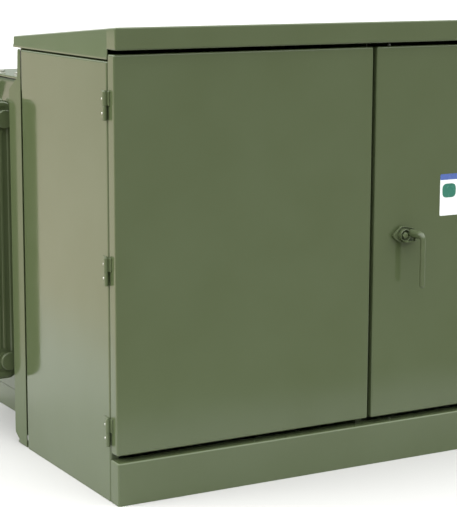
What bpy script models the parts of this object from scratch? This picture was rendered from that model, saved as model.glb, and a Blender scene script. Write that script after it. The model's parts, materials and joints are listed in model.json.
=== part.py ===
"""Pad-mounted distribution transformer: an oil tank behind a two-door terminal cabinet.

Metres, +Z up. The doors face -Y, and the origin is on the ground under the middle of the object.
A "depth" is measured backwards from the door faces, a "reach" outwards from the face that a
fitting stands on, and a height from the ground. "Left" is -X: the high-voltage side.
"""

import math

import bmesh
import bpy
from mathutils import Matrix, Vector

# ---------------------------------------------------------------- driving dimensions
CABINET_WIDTH = 1.708
HV_DOOR_WIDTH = 0.798
DOOR_GAP = 0.012
DOOR_BOTTOM = 0.136
DOOR_TOP = 1.200
DOOR_DEPTH = 0.039
SILL_TOP = 0.118
SILL_PROUD = 0.008
SEAM = 0.003

HOOD_OVERHANG = 0.013
HOOD_SIDE_PROUD = 0.001
HOOD_FRONT_TOP = 1.271
HOOD_REAR_TOP = 1.218
HOOD_FRONT_BOTTOM = 1.211
HOOD_SKIRT_BOTTOM = 1.186
HOOD_REAR_DEPTH = 0.671

PANEL_TOP = 1.182
PANEL_REAR_DEPTH = 0.617
PANEL_RETURN = 0.025

TANK_INSET = 0.120
TANK_FRONT_DEPTH = 0.646
TANK_REAR_DEPTH = 1.240
TANK_WALL_TOP = 1.068
TANK_FLOOR = 0.075
TANK_WALL = 0.005
COVER_TOP = 1.0796
COVER_OVERHANG = 0.008
FLANGE_DEPTH = 0.630
FLANGE_REAR = 0.677

SHEET = 0.0027
PLATE = 0.006
GAP = 0.0003

HINGE_HEIGHTS = {"lower": 0.1945, "middle": 0.6315, "upper": 1.0675}
HINGE_HEIGHT = 0.076
HINGE_OFFSET = 0.008
KNUCKLE_RADIUS = 0.007
PIN_RADIUS = 0.0035

HANDLE_X = 0.0486
HANDLE_Z = 0.665
HUB_REACH = 0.024
HUB_FLOOR = 0.013
GRIP_OFFSET = 0.0334
GRIP_REACH = 0.061
GRIP_RADIUS = 0.008
GRIP_BOTTOM = 0.5155

RADIATOR_INNER = 0.829
RADIATOR_OUTER = 0.955
RADIATOR_BOTTOM = 0.186
RADIATOR_TOP = 1.026
RADIATOR_PANEL = 0.012
RADIATOR_CORNER = 0.030
RADIATOR_FIRST = 0.750
RADIATOR_PITCH = 0.050
RADIATOR_COUNT = 10
HEADER_X = 0.862
HEADER_RADIUS = 0.026
STUB_RADIUS = 0.020

BUSHING_SIDES = 16

# ---------------------------------------------------------------- derived places
HALF = CABINET_WIDTH / 2
HV_EDGE = -HALF + HV_DOOR_WIDTH
LV_EDGE = HV_EDGE + DOOR_GAP
BARRIER_X = (HV_EDGE + LV_EDGE) / 2
TANK_HALF = HALF - TANK_INSET
REAR_MOST = TANK_REAR_DEPTH + COVER_OVERHANG
FACE_Y = (GRIP_REACH + GRIP_RADIUS - REAR_MOST) / 2
TANK_FRONT_Y = FACE_Y + TANK_FRONT_DEPTH
HOOD_SLOPE = (HOOD_FRONT_TOP - HOOD_REAR_TOP) / (HOOD_REAR_DEPTH + HOOD_OVERHANG)

FACING_FRONT = (math.pi / 2, 0.0, 0.0)
FACING_SIDE = (math.pi / 2, 0.0, math.pi / 2)

FINISHES = {
    "enamel": ((0.11, 0.15, 0.07), 0.30, 0.0),
    "steel": ((0.45, 0.45, 0.43), 0.40, 1.0),
    "tin": ((0.62, 0.62, 0.60), 0.35, 1.0),
    "epoxy": ((0.30, 0.12, 0.07), 0.45, 0.0),
    "rubber": ((0.03, 0.03, 0.03), 0.75, 0.0),
    "brass": ((0.60, 0.45, 0.18), 0.35, 1.0),
    "silicon_steel": ((0.25, 0.25, 0.26), 0.50, 1.0),
    "varnish": ((0.35, 0.18, 0.07), 0.40, 0.0),
    "dial": ((0.85, 0.85, 0.82), 0.35, 0.0),
}


def new_collection(name):
    """A collection linked to the scene, for the parts or for the cutters."""
    made = bpy.data.collections.new(name)
    bpy.context.scene.collection.children.link(made)
    return made


for old in list(bpy.data.objects):
    bpy.data.objects.remove(old, do_unlink=True)
PARTS = new_collection("pad_mounted_transformer")
CUTTERS = new_collection("cutters")


# ---------------------------------------------------------------- shop tools
def painted(obj, finish):
    """Give one sub-part its own material."""
    colour, roughness, metallic = FINISHES[finish]
    material = bpy.data.materials.new(obj.name + "_" + finish)
    material.use_nodes = True
    shader = material.node_tree.nodes["Principled BSDF"]
    shader.inputs["Base Color"].default_value = (*colour, 1.0)
    shader.inputs["Roughness"].default_value = roughness
    shader.inputs["Metallic"].default_value = metallic
    obj.data.materials.clear()
    obj.data.materials.append(material)


def new_part(name, mesh, finish):
    """A named sub-part; with no finish it is a cutter or a piece to be welded on."""
    obj = bpy.data.objects.new(name, mesh)
    if finish:
        PARTS.objects.link(obj)
        painted(obj, finish)
    else:
        CUTTERS.objects.link(obj)
        obj.hide_render = True
        obj.display_type = "WIRE"
    return obj


def mesh_from(bm, name):
    """Turn a finished bmesh into a mesh."""
    bmesh.ops.recalc_face_normals(bm, faces=bm.faces)
    mesh = bpy.data.meshes.new(name)
    bm.to_mesh(mesh)
    bm.free()
    return mesh


def add_box(bm, low, high):
    """Add a box between two corners, given in any order."""
    low, high = ([pick(pair) for pair in zip(low, high)] for pick in (min, max))
    size = [b - a for a, b in zip(low, high)]
    middle = [(a + b) / 2 for a, b in zip(low, high)]
    place = Matrix.Translation(middle) @ Matrix.Diagonal((*size, 1.0))
    return bmesh.ops.create_cube(bm, size=1.0, matrix=place)["verts"]


def add_rod(bm, start, end, radius, sides=BUSHING_SIDES):
    """Add a closed cylinder between two points."""
    start, end = Vector(start), Vector(end)
    turn = (end - start).to_track_quat("Z", "Y").to_matrix().to_4x4()
    place = Matrix.Translation((start + end) / 2) @ turn
    bmesh.ops.create_cone(bm, cap_ends=True, segments=sides, radius1=radius, radius2=radius,
                          depth=(end - start).length, matrix=place)


def block(name, low, high, finish=None, edge=0.0):
    """A solid box, with its edges broken by a small bevel."""
    bm = bmesh.new()
    add_box(bm, low, high)
    obj = new_part(name, mesh_from(bm, name), finish)
    soften(obj, edge)
    return obj


def rod(name, start, end, radius, finish=None, sides=BUSHING_SIDES):
    """A solid cylinder between two points."""
    bm = bmesh.new()
    add_rod(bm, start, end, radius, sides)
    return new_part(name, mesh_from(bm, name), finish)


def soften(obj, width, segments=1):
    """Break the sharp edges."""
    if width:
        bevel = obj.modifiers.new("broken_edges", "BEVEL")
        bevel.width = width
        bevel.segments = segments
        bevel.limit_method = "ANGLE"


def folded(name, low, high, open_sides, sheet, finish, bend=0.003, reshape=None):
    """A box folded from sheet, without the sides whose outward directions are given."""
    bm = bmesh.new()
    corners = add_box(bm, low, high)
    if reshape:
        reshape(corners)
    bm.normal_update()
    gone = [face for face in bm.faces
            if any(face.normal.dot(Vector(side)) > 0.9 for side in open_sides)]
    bmesh.ops.delete(bm, geom=gone, context="FACES")
    mesh = bpy.data.meshes.new(name)
    bm.to_mesh(mesh)
    bm.free()
    obj = new_part(name, mesh, finish)
    soften(obj, bend, segments=2)
    thicken = obj.modifiers.new("sheet", "SOLIDIFY")
    thicken.thickness = sheet
    thicken.offset = -1.0
    thicken.use_even_offset = True
    return obj


def turned(name, profile, place, finish=None, sides=BUSHING_SIDES, ring=False,
           rotation=FACING_FRONT):
    """A lathe-turned piece: (radius, reach) points down the outside, revolved about its axis."""
    bm = bmesh.new()
    points = [bm.verts.new((radius, 0.0, reach)) for radius, reach in profile]
    for upper, lower in zip(points, points[1:]):
        bm.edges.new((upper, lower))
    if ring:
        bm.edges.new((points[-1], points[0]))
    mesh = bpy.data.meshes.new(name)
    bm.to_mesh(mesh)
    bm.free()
    obj = new_part(name, mesh, finish)
    obj.location = place
    obj.rotation_euler = rotation
    lathe = obj.modifiers.new("lathe", "SCREW")
    lathe.steps = sides
    lathe.render_steps = sides
    lathe.use_merge_vertices = True
    lathe.merge_threshold = 0.00001
    return obj


def cut_from_plate(name, outline, thickness, middle, finish=None, rotation=FACING_SIDE):
    """A flat piece cut to an outline, turned upright and made a mesh with welded caps."""
    curve = bpy.data.curves.new(name + "_outline", "CURVE")
    curve.dimensions = "2D"
    curve.fill_mode = "BOTH"
    curve.extrude = thickness / 2
    spline = curve.splines.new("POLY")
    spline.points.add(len(outline) - 1)
    for point, (across, up) in zip(spline.points, outline):
        point.co = (across, up, 0.0, 1.0)
    spline.use_cyclic_u = True
    drawing = bpy.data.objects.new(name + "_drawing", curve)
    drawing.location = middle
    drawing.rotation_euler = rotation
    CUTTERS.objects.link(drawing)
    bpy.context.view_layer.update()
    graph = bpy.context.evaluated_depsgraph_get()
    mesh = bpy.data.meshes.new_from_object(drawing.evaluated_get(graph))
    mesh.transform(drawing.matrix_world)
    bpy.data.objects.remove(drawing, do_unlink=True)
    bm = bmesh.new()
    bm.from_mesh(mesh)
    bmesh.ops.remove_doubles(bm, verts=bm.verts, dist=0.00001)
    bmesh.ops.recalc_face_normals(bm, faces=bm.faces)
    bm.to_mesh(mesh)
    bm.free()
    mesh.name = name
    return new_part(name, mesh, finish)


def combine(obj, operation, *others):
    """Weld pieces on (UNION) or cut them out (DIFFERENCE)."""
    for number, other in enumerate(others):
        step = obj.modifiers.new(f"{operation.lower()}_{number}", "BOOLEAN")
        step.operation = operation
        step.solver = "EXACT"
        step.object = other
    return obj


def swings_about(obj, axis_point):
    """Put a moving piece's origin on its joint's axis without moving its shape."""
    bpy.context.view_layer.update()
    shift = obj.matrix_world.inverted() @ Vector(axis_point)
    obj.data.transform(Matrix.Translation(-shift))
    obj.location = axis_point
    return obj


def rounded_rectangle(left, bottom, right, top, radius, steps):
    """The outline of a rectangle with round corners, counter-clockwise."""
    corners = ((right - radius, bottom + radius, -90), (right - radius, top - radius, 0),
               (left + radius, top - radius, 90), (left + radius, bottom + radius, 180))
    outline = []
    for across, up, start in corners:
        for step in range(steps + 1):
            angle = math.radians(start + 90 * step / steps)
            outline.append((across + radius * math.cos(angle), up + radius * math.sin(angle)))
    return outline


def from_face(x, depth, z):
    """A point given by its depth behind the door faces."""
    return (x, FACE_Y + depth, z)


def on_tank(x, z):
    """A place on the tank's front wall, where a terminal or a gauge is mounted."""
    return (x, TANK_FRONT_Y, z)


# ---------------------------------------------------------------- cabinet
def make_cabinet():
    """Side panels, hood, sill, compartment barrier and the closing panel above the tank."""
    for name, side in (("left", -1), ("right", 1)):
        folded("side_panel_" + name, from_face(side * HALF, DOOR_DEPTH + SEAM, 0.0),
               from_face(side * (HALF - PANEL_RETURN), PANEL_REAR_DEPTH, PANEL_TOP),
               [(-side, 0, 0), (0, 0, -1)], SHEET, "enamel", bend=0.004)

    make_hood()

    folded("front_sill", from_face(-HALF, -SILL_PROUD, 0.0), from_face(HALF, DOOR_DEPTH, SILL_TOP),
           [(0, 1, 0), (0, 0, -1)], SHEET, "enamel")

    barrier_outline = [(DOOR_DEPTH + 0.006, 0.004), (TANK_FRONT_DEPTH - 0.0006, 0.004),
                       (TANK_FRONT_DEPTH - 0.0006, 1.058), (PANEL_REAR_DEPTH, 1.058),
                       (PANEL_REAR_DEPTH, hood_underside(PANEL_REAR_DEPTH)),
                       (DOOR_DEPTH + 0.006, hood_underside(DOOR_DEPTH + 0.006))]
    cut_from_plate("compartment_barrier", barrier_outline, 0.003, (BARRIER_X, FACE_Y, 0.0), "enamel")

    closing_depth = PANEL_REAR_DEPTH + 0.014
    folded("back_panel", from_face(-HALF + 0.0045, PANEL_REAR_DEPTH + 0.002, 1.062),
           from_face(HALF - 0.0045, closing_depth, hood_underside(closing_depth) - 0.005),
           [(0, -1, 0)], SHEET, "enamel", bend=0.0)


def hood_underside(depth):
    """Height just under the hood's sloping sheet."""
    return HOOD_FRONT_TOP - HOOD_SLOPE * (depth + HOOD_OVERHANG) - SHEET - 0.001


def make_hood():
    """The sloping hood: a folded lid, cut short over the doors, with a welded front lip."""
    rear_y = FACE_Y + HOOD_REAR_DEPTH

    def drop_rear(corners):
        for corner in corners:
            if corner.co.y > rear_y - 0.01 and corner.co.z > HOOD_FRONT_BOTTOM:
                corner.co.z = HOOD_REAR_TOP

    outer = HALF + HOOD_SIDE_PROUD
    hood = folded("hood", from_face(-outer, -HOOD_OVERHANG, HOOD_SKIRT_BOTTOM),
                  from_face(outer, HOOD_REAR_DEPTH, HOOD_FRONT_TOP),
                  [(0, 0, -1)], SHEET, "enamel", bend=0.006, reshape=drop_rear)
    over_doors = block("hood_front_cut", from_face(-1.0, -0.05, 1.1),
                       from_face(1.0, DOOR_DEPTH + 0.001, HOOD_FRONT_BOTTOM))
    lip = block("hood_lip", from_face(-outer + 0.002, -HOOD_OVERHANG + 0.001, HOOD_FRONT_BOTTOM),
                from_face(outer - 0.002, DOOR_DEPTH - SEAM, HOOD_FRONT_BOTTOM + SHEET))
    combine(hood, "DIFFERENCE", over_doors)
    combine(hood, "UNION", lip)


# ---------------------------------------------------------------- doors, hinges and latch
def make_doors():
    """Two folded door pans; the low-voltage one has the handle's shaft hole."""
    spans = {"hv_door": (-HALF, HV_EDGE), "lv_door": (LV_EDGE, HALF)}
    for name, (left, right) in spans.items():
        side = -1 if name == "hv_door" else 1
        door = folded(name, from_face(left, 0.0, DOOR_BOTTOM), from_face(right, DOOR_DEPTH, DOOR_TOP),
                      [(0, 1, 0)], SHEET, "enamel")
        if name == "lv_door":
            hole = rod("handle_hole", from_face(HANDLE_X, -0.02, HANDLE_Z),
                       from_face(HANDLE_X, 0.02, HANDLE_Z), 0.0112)
            combine(door, "DIFFERENCE", hole)
        swings_about(door, hinge_axis(side, DOOR_BOTTOM))


def hinge_axis(side, height):
    """A point on the hinge line of the left (-1) or right (1) door."""
    return from_face(side * (HALF + HINGE_OFFSET), DOOR_DEPTH, height)


def make_hinge(door, side, position, height):
    """A lift-off hinge: the fixed leaf carries the pin, the door leaf's knuckle sits on it."""
    axis = Vector(hinge_axis(side, height))
    half = HINGE_HEIGHT / 2
    skin = side * (HALF + GAP)
    leaf_face = side * (HALF + 0.003)
    strap_face = side * (HALF + 0.004)
    clear = 0.006

    fixed = rod(f"{door}_hinge_{position}_fixed", axis - Vector((0, 0, half)),
                axis - Vector((0, 0, GAP)), KNUCKLE_RADIUS, "enamel")
    leaf = block("leaf", from_face(skin, DOOR_DEPTH + clear, height - half),
                 from_face(leaf_face, DOOR_DEPTH + 0.037, height + half))
    strap = block("strap", from_face(skin, DOOR_DEPTH + SEAM + 0.001, height - half),
                  from_face(strap_face, DOOR_DEPTH + clear + 0.001, height - 0.001))
    pin = rod("pin", axis - Vector((0, 0, 0.01)), axis + Vector((0, 0, half + 0.002)),
              PIN_RADIUS, sides=12)
    combine(fixed, "UNION", leaf, strap, pin)

    moving = rod(f"{door}_hinge_{position}_leaf", axis + Vector((0, 0, GAP)),
                 axis + Vector((0, 0, half)), KNUCKLE_RADIUS, "enamel")
    leaf = block("leaf", from_face(skin, 0.004, height - half),
                 from_face(leaf_face, DOOR_DEPTH - clear, height + half))
    strap = block("strap", from_face(skin, DOOR_DEPTH - clear - 0.001, height + 0.001),
                  from_face(strap_face, DOOR_DEPTH, height + half))
    bore = rod("bore", axis - Vector((0, 0, 0.01)), axis + Vector((0, 0, half + 0.01)),
               PIN_RADIUS + 0.0006, sides=12)
    combine(moving, "UNION", leaf, strap)
    combine(moving, "DIFFERENCE", bore)
    swings_about(moving, axis)


def make_latch():
    """Handle with its recessed bolt, and the cam and rods that it works behind the door."""
    pivot = (HANDLE_X, FACE_Y, HANDLE_Z)
    turned("handle_escutcheon", [(0.0125, 0.0045), (0.018, 0.0045), (0.021, 0.0025),
                                 (0.021, GAP), (0.0125, GAP)], pivot, "enamel", 20, ring=True)

    grip_x = HANDLE_X + GRIP_OFFSET
    handle = turned("door_handle", [(0.0, -0.020), (0.0056, -0.020), (0.0056, HUB_FLOOR),
                                    (0.0150, HUB_FLOOR), (0.0150, HUB_REACH), (0.0168, HUB_REACH),
                                    (0.0172, HUB_REACH - 0.001), (0.0180, 0.007), (0.009, 0.007),
                                    (0.009, -0.050), (0.0, -0.050)], pivot, "enamel", 20)
    wing_outline = [(-0.033, -0.001), (-0.010, 0.022), (0.007, 0.022), (0.022, 0.0175),
                    (0.033, 0.015), (0.040, 0.006), (0.040, -0.016), (0.032, -0.0205),
                    (-0.007, -0.0195), (-0.020, -0.012)]
    wing = cut_from_plate("wing", [(HANDLE_X + across, HANDLE_Z + up) for across, up in wing_outline],
                          0.008, from_face(0.0, -0.0105, 0.0), rotation=FACING_FRONT)
    eye = rod("wing_eye", from_face(HANDLE_X, -0.020, HANDLE_Z), pivot, 0.016)
    elbow = rod("elbow", from_face(HANDLE_X + 0.022, -0.012, HANDLE_Z),
                from_face(grip_x, -GRIP_REACH + 0.003, HANDLE_Z), 0.009)
    grip = rod("grip", from_face(grip_x, -GRIP_REACH, GRIP_BOTTOM),
               from_face(grip_x, -GRIP_REACH, HANDLE_Z + 0.006), GRIP_RADIUS)
    combine(wing, "DIFFERENCE", eye)
    combine(handle, "UNION", wing, elbow, grip)

    bolt = rod("penta_bolt", from_face(HANDLE_X, -0.0215, HANDLE_Z),
               from_face(HANDLE_X, -HUB_FLOOR - 0.0005, HANDLE_Z), 0.009, "brass", 5)
    shank = rod("shank", from_face(HANDLE_X, -0.015, HANDLE_Z),
                from_face(HANDLE_X, 0.018, HANDLE_Z), 0.005, sides=12)
    combine(bolt, "UNION", shank)
    swings_about(bolt, pivot)

    cam = block("latch_cam", from_face(HANDLE_X - 0.011, 0.0505, HANDLE_Z - 0.036),
                from_face(HANDLE_X + 0.011, 0.0545, HANDLE_Z + 0.036), "steel", 0.002)
    swings_about(cam, pivot)
    throw, tip_gap = 0.012, 0.005
    rod("latch_rod_upper", from_face(HANDLE_X - throw, 0.0605, HANDLE_Z + 0.024),
        from_face(HANDLE_X - throw, 0.0605, HOOD_FRONT_BOTTOM - tip_gap), 0.005, "steel", 12)
    rod("latch_rod_lower", from_face(HANDLE_X + throw, 0.0605, SILL_TOP + tip_gap),
        from_face(HANDLE_X + throw, 0.0605, HANDLE_Z - 0.024), 0.005, "steel", 12)


# ---------------------------------------------------------------- tank
def make_tank():
    """The welded tank with its rails, cabinet flanges and lifting lugs, and its bolted cover."""
    front, rear = TANK_FRONT_DEPTH, TANK_REAR_DEPTH
    inner = TANK_HALF - TANK_WALL
    tank = block("tank_shell", from_face(-TANK_HALF, front, 0.0),
                 from_face(TANK_HALF, rear, TANK_WALL_TOP), "enamel")
    oil_space = block("oil_space", from_face(-inner, front + PLATE, TANK_FLOOR + PLATE),
                      from_face(inner, rear - TANK_WALL, TANK_WALL_TOP - PLATE))
    mouth = block("mouth", from_face(-inner + 0.035, front + 0.041, 0.5),
                  from_face(inner - 0.035, rear - 0.040, TANK_WALL_TOP + 0.05))
    skirt = block("skirt_space", from_face(-inner, front + PLATE, -0.01),
                  from_face(inner, rear - TANK_WALL, TANK_FLOOR))
    combine(tank, "DIFFERENCE", oil_space, mouth, skirt)

    flange_outline = [(FLANGE_DEPTH, 0.006), (FLANGE_DEPTH + 0.023, 0.006), (FLANGE_REAR, 0.036),
                      (FLANGE_REAR, 1.070), (FLANGE_DEPTH + 0.012, 1.100),
                      (FLANGE_DEPTH + 0.009, PANEL_TOP), (FLANGE_DEPTH, PANEL_TOP)]
    lug_outline = [(TANK_HALF - 0.002, 0.955), (TANK_HALF + 0.045, 0.985),
                   (TANK_HALF + 0.070, 1.045), (TANK_HALF + 0.052, 1.056),
                   (TANK_HALF + 0.030, 1.020), (TANK_HALF + 0.012, 1.030),
                   (TANK_HALF + 0.012, 1.056), (TANK_HALF - 0.002, 1.056)]
    for side in (-1, 1):
        leg = cut_from_plate("flange_leg", flange_outline, 0.003,
                             (side * (HALF - 0.0015), FACE_Y, 0.0))
        web = block("flange_web", from_face(side * (TANK_HALF - 0.002), front, 0.030),
                    from_face(side * (HALF - 0.001), front + 0.005, TANK_WALL_TOP - 0.004))
        foot = block("flange_foot", from_face(side * HALF, FLANGE_DEPTH, 0.0),
                     from_face(side * (HALF - 0.022), FLANGE_REAR + 0.003, 0.0085))
        rail = block("base_rail", from_face(side * 0.50, front + 0.003, 0.0),
                     from_face(side * 0.60, rear - 0.003, TANK_FLOOR + 0.002))
        combine(tank, "UNION", leg, web, foot, rail)
        for depth in (0.70, 1.19):
            mirrored = [(side * across, up) for across, up in lug_outline]
            lug = cut_from_plate("lifting_lug", mirrored, 0.012, from_face(0.0, depth, 0.0),
                                 rotation=FACING_FRONT)
            combine(tank, "UNION", lug)

    gasket_outer, rim = TANK_HALF - 0.002, 0.030
    gasket = block("cover_gasket", from_face(-gasket_outer, front + 0.002, TANK_WALL_TOP + GAP),
                   from_face(gasket_outer, rear - 0.002, TANK_WALL_TOP + 0.0033), "rubber")
    window = block("gasket_window", from_face(-gasket_outer + rim, front + 0.002 + rim, 1.0),
                   from_face(gasket_outer - rim, rear - 0.002 - rim, 1.2))
    combine(gasket, "DIFFERENCE", window)
    block("tank_cover", from_face(-TANK_HALF - COVER_OVERHANG, front - 0.005, TANK_WALL_TOP + 0.0036),
          from_face(TANK_HALF + COVER_OVERHANG, REAR_MOST, COVER_TOP), "enamel", 0.002)
    turned("handhole_cover", [(0.0, 0.012), (0.135, 0.012), (0.140, 0.009), (0.140, GAP), (0.0, GAP)],
           from_face(-0.36, 0.95, COVER_TOP), "enamel", 24, rotation=(0.0, 0.0, 0.0))
    return tank


def make_radiator(name, side):
    """Pressed panels hung on an upper and a lower header pipe, which two stubs join to the tank."""
    outline = rounded_rectangle(RADIATOR_INNER, RADIATOR_BOTTOM, RADIATOR_OUTER, RADIATOR_TOP,
                                RADIATOR_CORNER, 2)
    outline = [(side * across, up) for across, up in outline]
    last = RADIATOR_FIRST + RADIATOR_PITCH * (RADIATOR_COUNT - 1)
    panels = bmesh.new()
    for number in range(RADIATOR_COUNT):
        depth = RADIATOR_FIRST + RADIATOR_PITCH * number
        panel = cut_from_plate("panel", outline, RADIATOR_PANEL, from_face(0.0, depth, 0.0),
                               rotation=FACING_FRONT)
        panels.from_mesh(panel.data)
        bpy.data.objects.remove(panel, do_unlink=True)
    radiator = new_part(name, mesh_from(panels, name), "enamel")
    header_x, stub_depth, beyond = side * HEADER_X, (RADIATOR_FIRST + last) / 2, 0.016
    for height in (RADIATOR_BOTTOM + 0.061, RADIATOR_TOP - 0.051):
        header = rod("header", from_face(header_x, RADIATOR_FIRST - beyond, height),
                     from_face(header_x, last + beyond, height), HEADER_RADIUS, sides=8)
        stub = rod("stub", from_face(side * (TANK_HALF + 0.0006), stub_depth, height),
                   from_face(header_x, stub_depth, height), STUB_RADIUS, sides=8)
        combine(radiator, "UNION", header, stub)


def make_core():
    """The three-limb core standing on the tank floor, with a coil on each limb."""
    middle = (TANK_FRONT_DEPTH + TANK_REAR_DEPTH) / 2
    bottom, top, yoke = TANK_FLOOR + PLATE + 0.002, 0.860, 0.120
    limb_pitch, limb = 0.360, 0.150
    core = block("core", from_face(-limb_pitch - limb / 2, middle - 0.085, bottom),
                 from_face(limb_pitch + limb / 2, middle + 0.085, top), "silicon_steel")
    for side in (-1, 1):
        window = block("core_window", from_face(side * limb / 2, 0.5, bottom + yoke),
                       from_face(side * (limb_pitch - limb / 2), 1.3, top - yoke))
        combine(core, "DIFFERENCE", window)
    coil_low, coil_high = bottom + yoke + 0.012, top - yoke - 0.012
    for number, name in enumerate(("coil_a", "coil_b", "coil_c")):
        turned(name, [(0.172, coil_high), (0.172, coil_low), (0.120, coil_low), (0.120, coil_high)],
               from_face((number - 1) * limb_pitch, middle, 0.0), "varnish", 20, ring=True,
               rotation=(0.0, 0.0, 0.0))


# ---------------------------------------------------------------- terminals and accessories
HV_BUSHINGS = {"h1": (-0.660, 0.80), "h2": (-0.440, 0.72), "h3": (-0.220, 0.80)}
FUSES = {"a": -0.560, "b": -0.440, "c": -0.320}
FUSE_Z = 0.46
SWITCH = (-0.194, 0.46)
TAP_CHANGER = (-0.680, 0.46)
LV_BUSHINGS = {"x0": (0.140, 0.74), "x1": (0.310, 0.62), "x2": (0.480, 0.74), "x3": (0.650, 0.62)}
LEVEL_GAUGE = (0.600, 0.960)
THERMOMETER = (0.460, 0.960)
RELIEF_VALVE = (0.330, 0.970)
DRAIN_VALVE = (0.640, 0.180)
NAMEPLATE = (0.130, 0.960)


def make_terminals(tank):
    """Bushings and fuse wells through the tank's front wall."""
    for name, (x, z) in HV_BUSHINGS.items():
        turned("hv_bushing_" + name,
               [(0.0, 0.190), (0.016, 0.190), (0.022, 0.184), (0.026, 0.100), (0.040, 0.070),
                (0.045, 0.026), (0.058, 0.022), (0.058, 0.0005), (0.034, 0.0005),
                (0.034, -0.055), (0.0, -0.055)], on_tank(x, z), "epoxy")
        wall_hole(tank, x, z, 0.037)
    for name, x in FUSES.items():
        turned("fuse_housing_" + name,
               [(0.026, 0.070), (0.026, 0.010), (0.036, 0.010), (0.036, 0.0005), (0.0225, 0.0005),
                (0.0225, -0.100), (0.018, -0.100), (0.018, 0.070)], on_tank(x, FUSE_Z), "steel",
               ring=True)
        wall_hole(tank, x, FUSE_Z, 0.025)
        turned("fuse_holder_" + name,
               [(0.0, 0.120), (0.010, 0.120), (0.013, 0.116), (0.011, 0.100), (0.021, 0.096),
                (0.024, 0.090), (0.024, 0.0705), (0.0165, 0.0705), (0.0165, -0.095),
                (0.0, -0.095)], on_tank(x, FUSE_Z), "epoxy")
    for name, (x, z) in LV_BUSHINGS.items():
        bushing = turned("lv_bushing_" + name,
                         [(0.0, 0.118), (0.016, 0.118), (0.016, 0.074), (0.030, 0.070),
                          (0.036, 0.014), (0.052, 0.012), (0.052, 0.0005), (0.032, 0.0005),
                          (0.032, -0.050), (0.0, -0.050)], on_tank(x, z), "epoxy")
        wall_hole(tank, x, z, 0.035)
        spade = block("spade", (x - 0.008, TANK_FRONT_Y - 0.225, z - 0.045),
                      (x + 0.008, TANK_FRONT_Y - 0.108, z + 0.045))
        holes = bmesh.new()
        for reach in (0.152, 0.196):
            for height in (-0.022, 0.022):
                add_rod(holes, (x - 0.02, TANK_FRONT_Y - reach, z + height),
                        (x + 0.02, TANK_FRONT_Y - reach, z + height), 0.0072, 10)
        combine(bushing, "UNION", spade)
        combine(bushing, "DIFFERENCE", new_part("spade_holes", mesh_from(holes, "spade_holes"), None))


def wall_hole(tank, x, z, radius):
    """A round hole through the tank's front wall."""
    hole = rod("wall_hole", (x, TANK_FRONT_Y - 0.02, z), (x, TANK_FRONT_Y + 0.02, z), radius)
    combine(tank, "DIFFERENCE", hole)


def make_lever(name, place, hub_radius, length, finish):
    """A turning handle on the tank wall: a hub with a lever that points down."""
    x, z = place
    lever = turned(name, [(0.0, 0.052), (hub_radius - 0.003, 0.052), (hub_radius, 0.049),
                          (hub_radius, 0.0005), (0.0, 0.0005)], on_tank(x, z), finish)
    arm = block("arm", (x - 0.010, TANK_FRONT_Y - 0.046, z - length),
                (x + 0.010, TANK_FRONT_Y - 0.036, z))
    combine(lever, "UNION", arm)


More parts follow.
